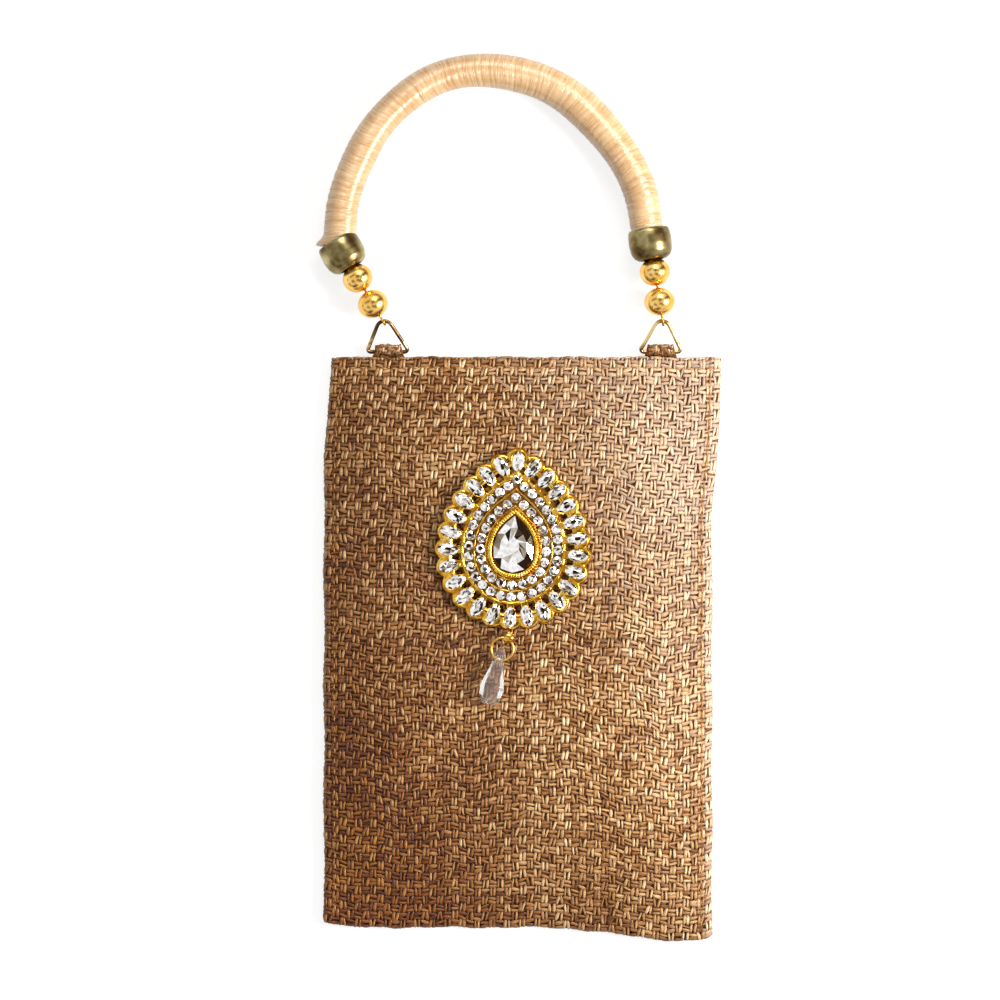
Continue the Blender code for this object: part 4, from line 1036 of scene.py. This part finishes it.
# Silver-plated cups: stamped brass, plated pale and tarnished, so they are soft warm-white mirrors
silver_finish = mottled("silver plated cups", {"Metallic": 1.0, "Roughness": 0.3}, 1.11,
                        ((0.35, "#B9A288"), (0.65, "#F2EBDD")))
levels = ((1.02, 1.3, 0.0), (1.06, 2.1, 0.0), (0.76, 2.65, 0.5), (0.36, 2.9, 0.0))
chance = np.random.default_rng(3)
for k, stone in enumerate(on_stones(levels, 12, ripple=0.08)):
    middle = stone.reshape(-1, 3).mean(axis=0)
    tilt = chance.normal(0, 0.07, 2)
    stone[..., 2] += (stone[..., 0] - middle[0]) * tilt[0] + (stone[..., 1] - middle[1]) * tilt[1]
    number = f"{k + 1:02d}"
    add_piece("marquise_" + number, stone, foil_finish, "crystal", "pouch", "marquise_stone_" + number,
              sharp=0, caps=True, cut=True)


def round_stones(name, size, count, replaced):
    """A row of round brilliants in cups: each has a girdle, two rings of crown facets and a table, is spun
    and tilted by chance, and stands in a round wall."""
    flat = pear(size, count, sharpening=1.2)[0][:, None, None]
    chance = np.random.default_rng(count)
    form = []
    for radius, height, shift in ((0.9, 1.2, 0.0), (1.02, 1.95, 0.0), (0.84, 2.3, 0.5), (0.5, 2.6, 0.0)):
        form.append(lift(circle(8, shift) * radius * ROUND_STONE / 2, height))
    form = np.array(form)
    spin = chance.uniform(0, math.pi, (count, 1, 1))
    x = form[..., 0] * np.cos(spin) - form[..., 1] * np.sin(spin)
    y = form[..., 0] * np.sin(spin) + form[..., 1] * np.cos(spin)
    tilt = chance.normal(0, 0.1, (2, count, 1, 1))
    z = form[..., 2] + x * tilt[0] + y * tilt[1] + chance.normal(0, 0.06, x.shape)
    add_piece(name, on_brooch(lift(np.stack([x, y], axis=-1) + flat, z)),
              foil_finish, "crystal", "pouch", replaced, sharp=0, caps=True, cut=True)
    cup = np.array([(0.92, 0.8), (1.0, 0.8), (1.0, 1.7), (0.92, 1.7)])
    walls = circle(12) * ROUND_STONE / 2 * cup[:, None, :1] + flat
    add_piece(name + "_cups", on_brooch(lift(walls, cup[:, None, 1])),
              silver_finish, "crystal", "pouch", replaced, sharp=40, along=True)


round_stones("outer_rhinestones", OUTER_ROW_PEAR, 30, "outer_stone_row")
round_stones("inner_rhinestones", INNER_ROW_PEAR, 22, "inner_stone_row")

# The centre stone: a pear-cut foiled crystal in a bezel whose top is milled like a rope
BEZEL_STEPS = 260
MILLED_TURNS = 65
flat, out = pear(BEZEL_PEAR, BEZEL_STEPS, sharpening=1.0)
milling = 0.14 * np.cos(2 * math.pi * MILLED_TURNS * np.arange(BEZEL_STEPS) / BEZEL_STEPS)
section = ((-0.75, 0.9, 0), (0.95, 0.9, 0), (0.95, 2.0, 1), (0.5, 2.8, 1), (-0.1, 3.05, 1), (-0.55, 2.85, 1),
           (-0.75, 2.4, 0))
rows = [lift(flat + out * (away + milling * milled)[:, None], height + milling * milled * 0.8)
        for away, height, milled in section]
add_piece("milled_bezel", on_brooch(np.array(rows)),
          gold_finish, "gold_plate", "pouch", "centre_bezel", along=True)
rows = []
for scale, height, shift in ((1.0, 1.2, 0.0), (1.02, 2.6, 0.0), (0.7, 3.6, 0.5), (0.3, 4.15, 0.0)):
    flat = pear(CRYSTAL_PEAR, 12, shift, sharpening=1.0)[0] * scale + np.array((0.0, 2.2 * (1 - scale)))
    rows.append(lift(flat, height + 0.16 * np.cos(2.5 * np.arange(12))))
add_piece("pear_crystal", on_brooch(np.array(rows)),
          foil_finish, "crystal", "pouch", "centre_crystal", sharp=0, caps=True, cut=True)

# The pendant: a clear faceted drop of pressed acrylic on a gold jump ring, hung from the brooch by a bail
BAIL_RADIUS = 1.7
BAIL_WIRE = 0.9
JUMP_RING_RADIUS = 3.6
JUMP_RING_WIRE = 0.8
turn = around(40)[:, None]
lift_pivot = joint_place("jump_ring_lift")
hang = BAIL_RADIUS - BAIL_WIRE / 2 - JUMP_RING_WIRE / 2 - WIRE_PLAY
ring_middle = joint_place("drop_sway")
lean = (lift_pivot - ring_middle) / JUMP_RING_RADIUS
bail_middle = lift_pivot + lean * hang
path = bail_middle + BAIL_RADIUS * (np.cos(turn) * lean + np.sin(turn) * np.array((0.0, 0.0, 1.0)))
square = np.cross(lean, (0.0, 0.0, 1.0))
points = tube(path, BAIL_WIRE / 2, square, 12, closed=True)
wide = 1.0 + 2.2 * (1 + np.sin(turn)) / 2
points = points + ((points - bail_middle) @ square)[..., None] * (wide[..., None] - 1) * square
add_piece("bail_loop", points, gold_finish, "gold_plate", "pouch", "pendant_bail", along=True)
path = ring_middle + JUMP_RING_RADIUS * np.concatenate([np.cos(turn), np.sin(turn), 0 * turn], axis=1)
add_piece("jump_ring_wire", tube(path, JUMP_RING_WIRE / 2, (0, 0, 1), 12, closed=True),
          bead_finish, "polished_gold", "jump_ring", "jump_ring", along=True)
# Clear acrylic: pressed and tumbled, so it is clear with soft edges, faintly warm and slightly uneven
clear_finish = mottled("clear acrylic", {
    "Transmission Weight": 0.95, "IOR": 1.49, "Roughness": 0.01, "Base Color": colour("#FFFBF8"),
}, 6.25, bump=(0.05, 0.4))
drop = frame["nodes"]["crystal_drop"]
drop.data.materials.clear()
drop.data.materials.append(clear_finish)
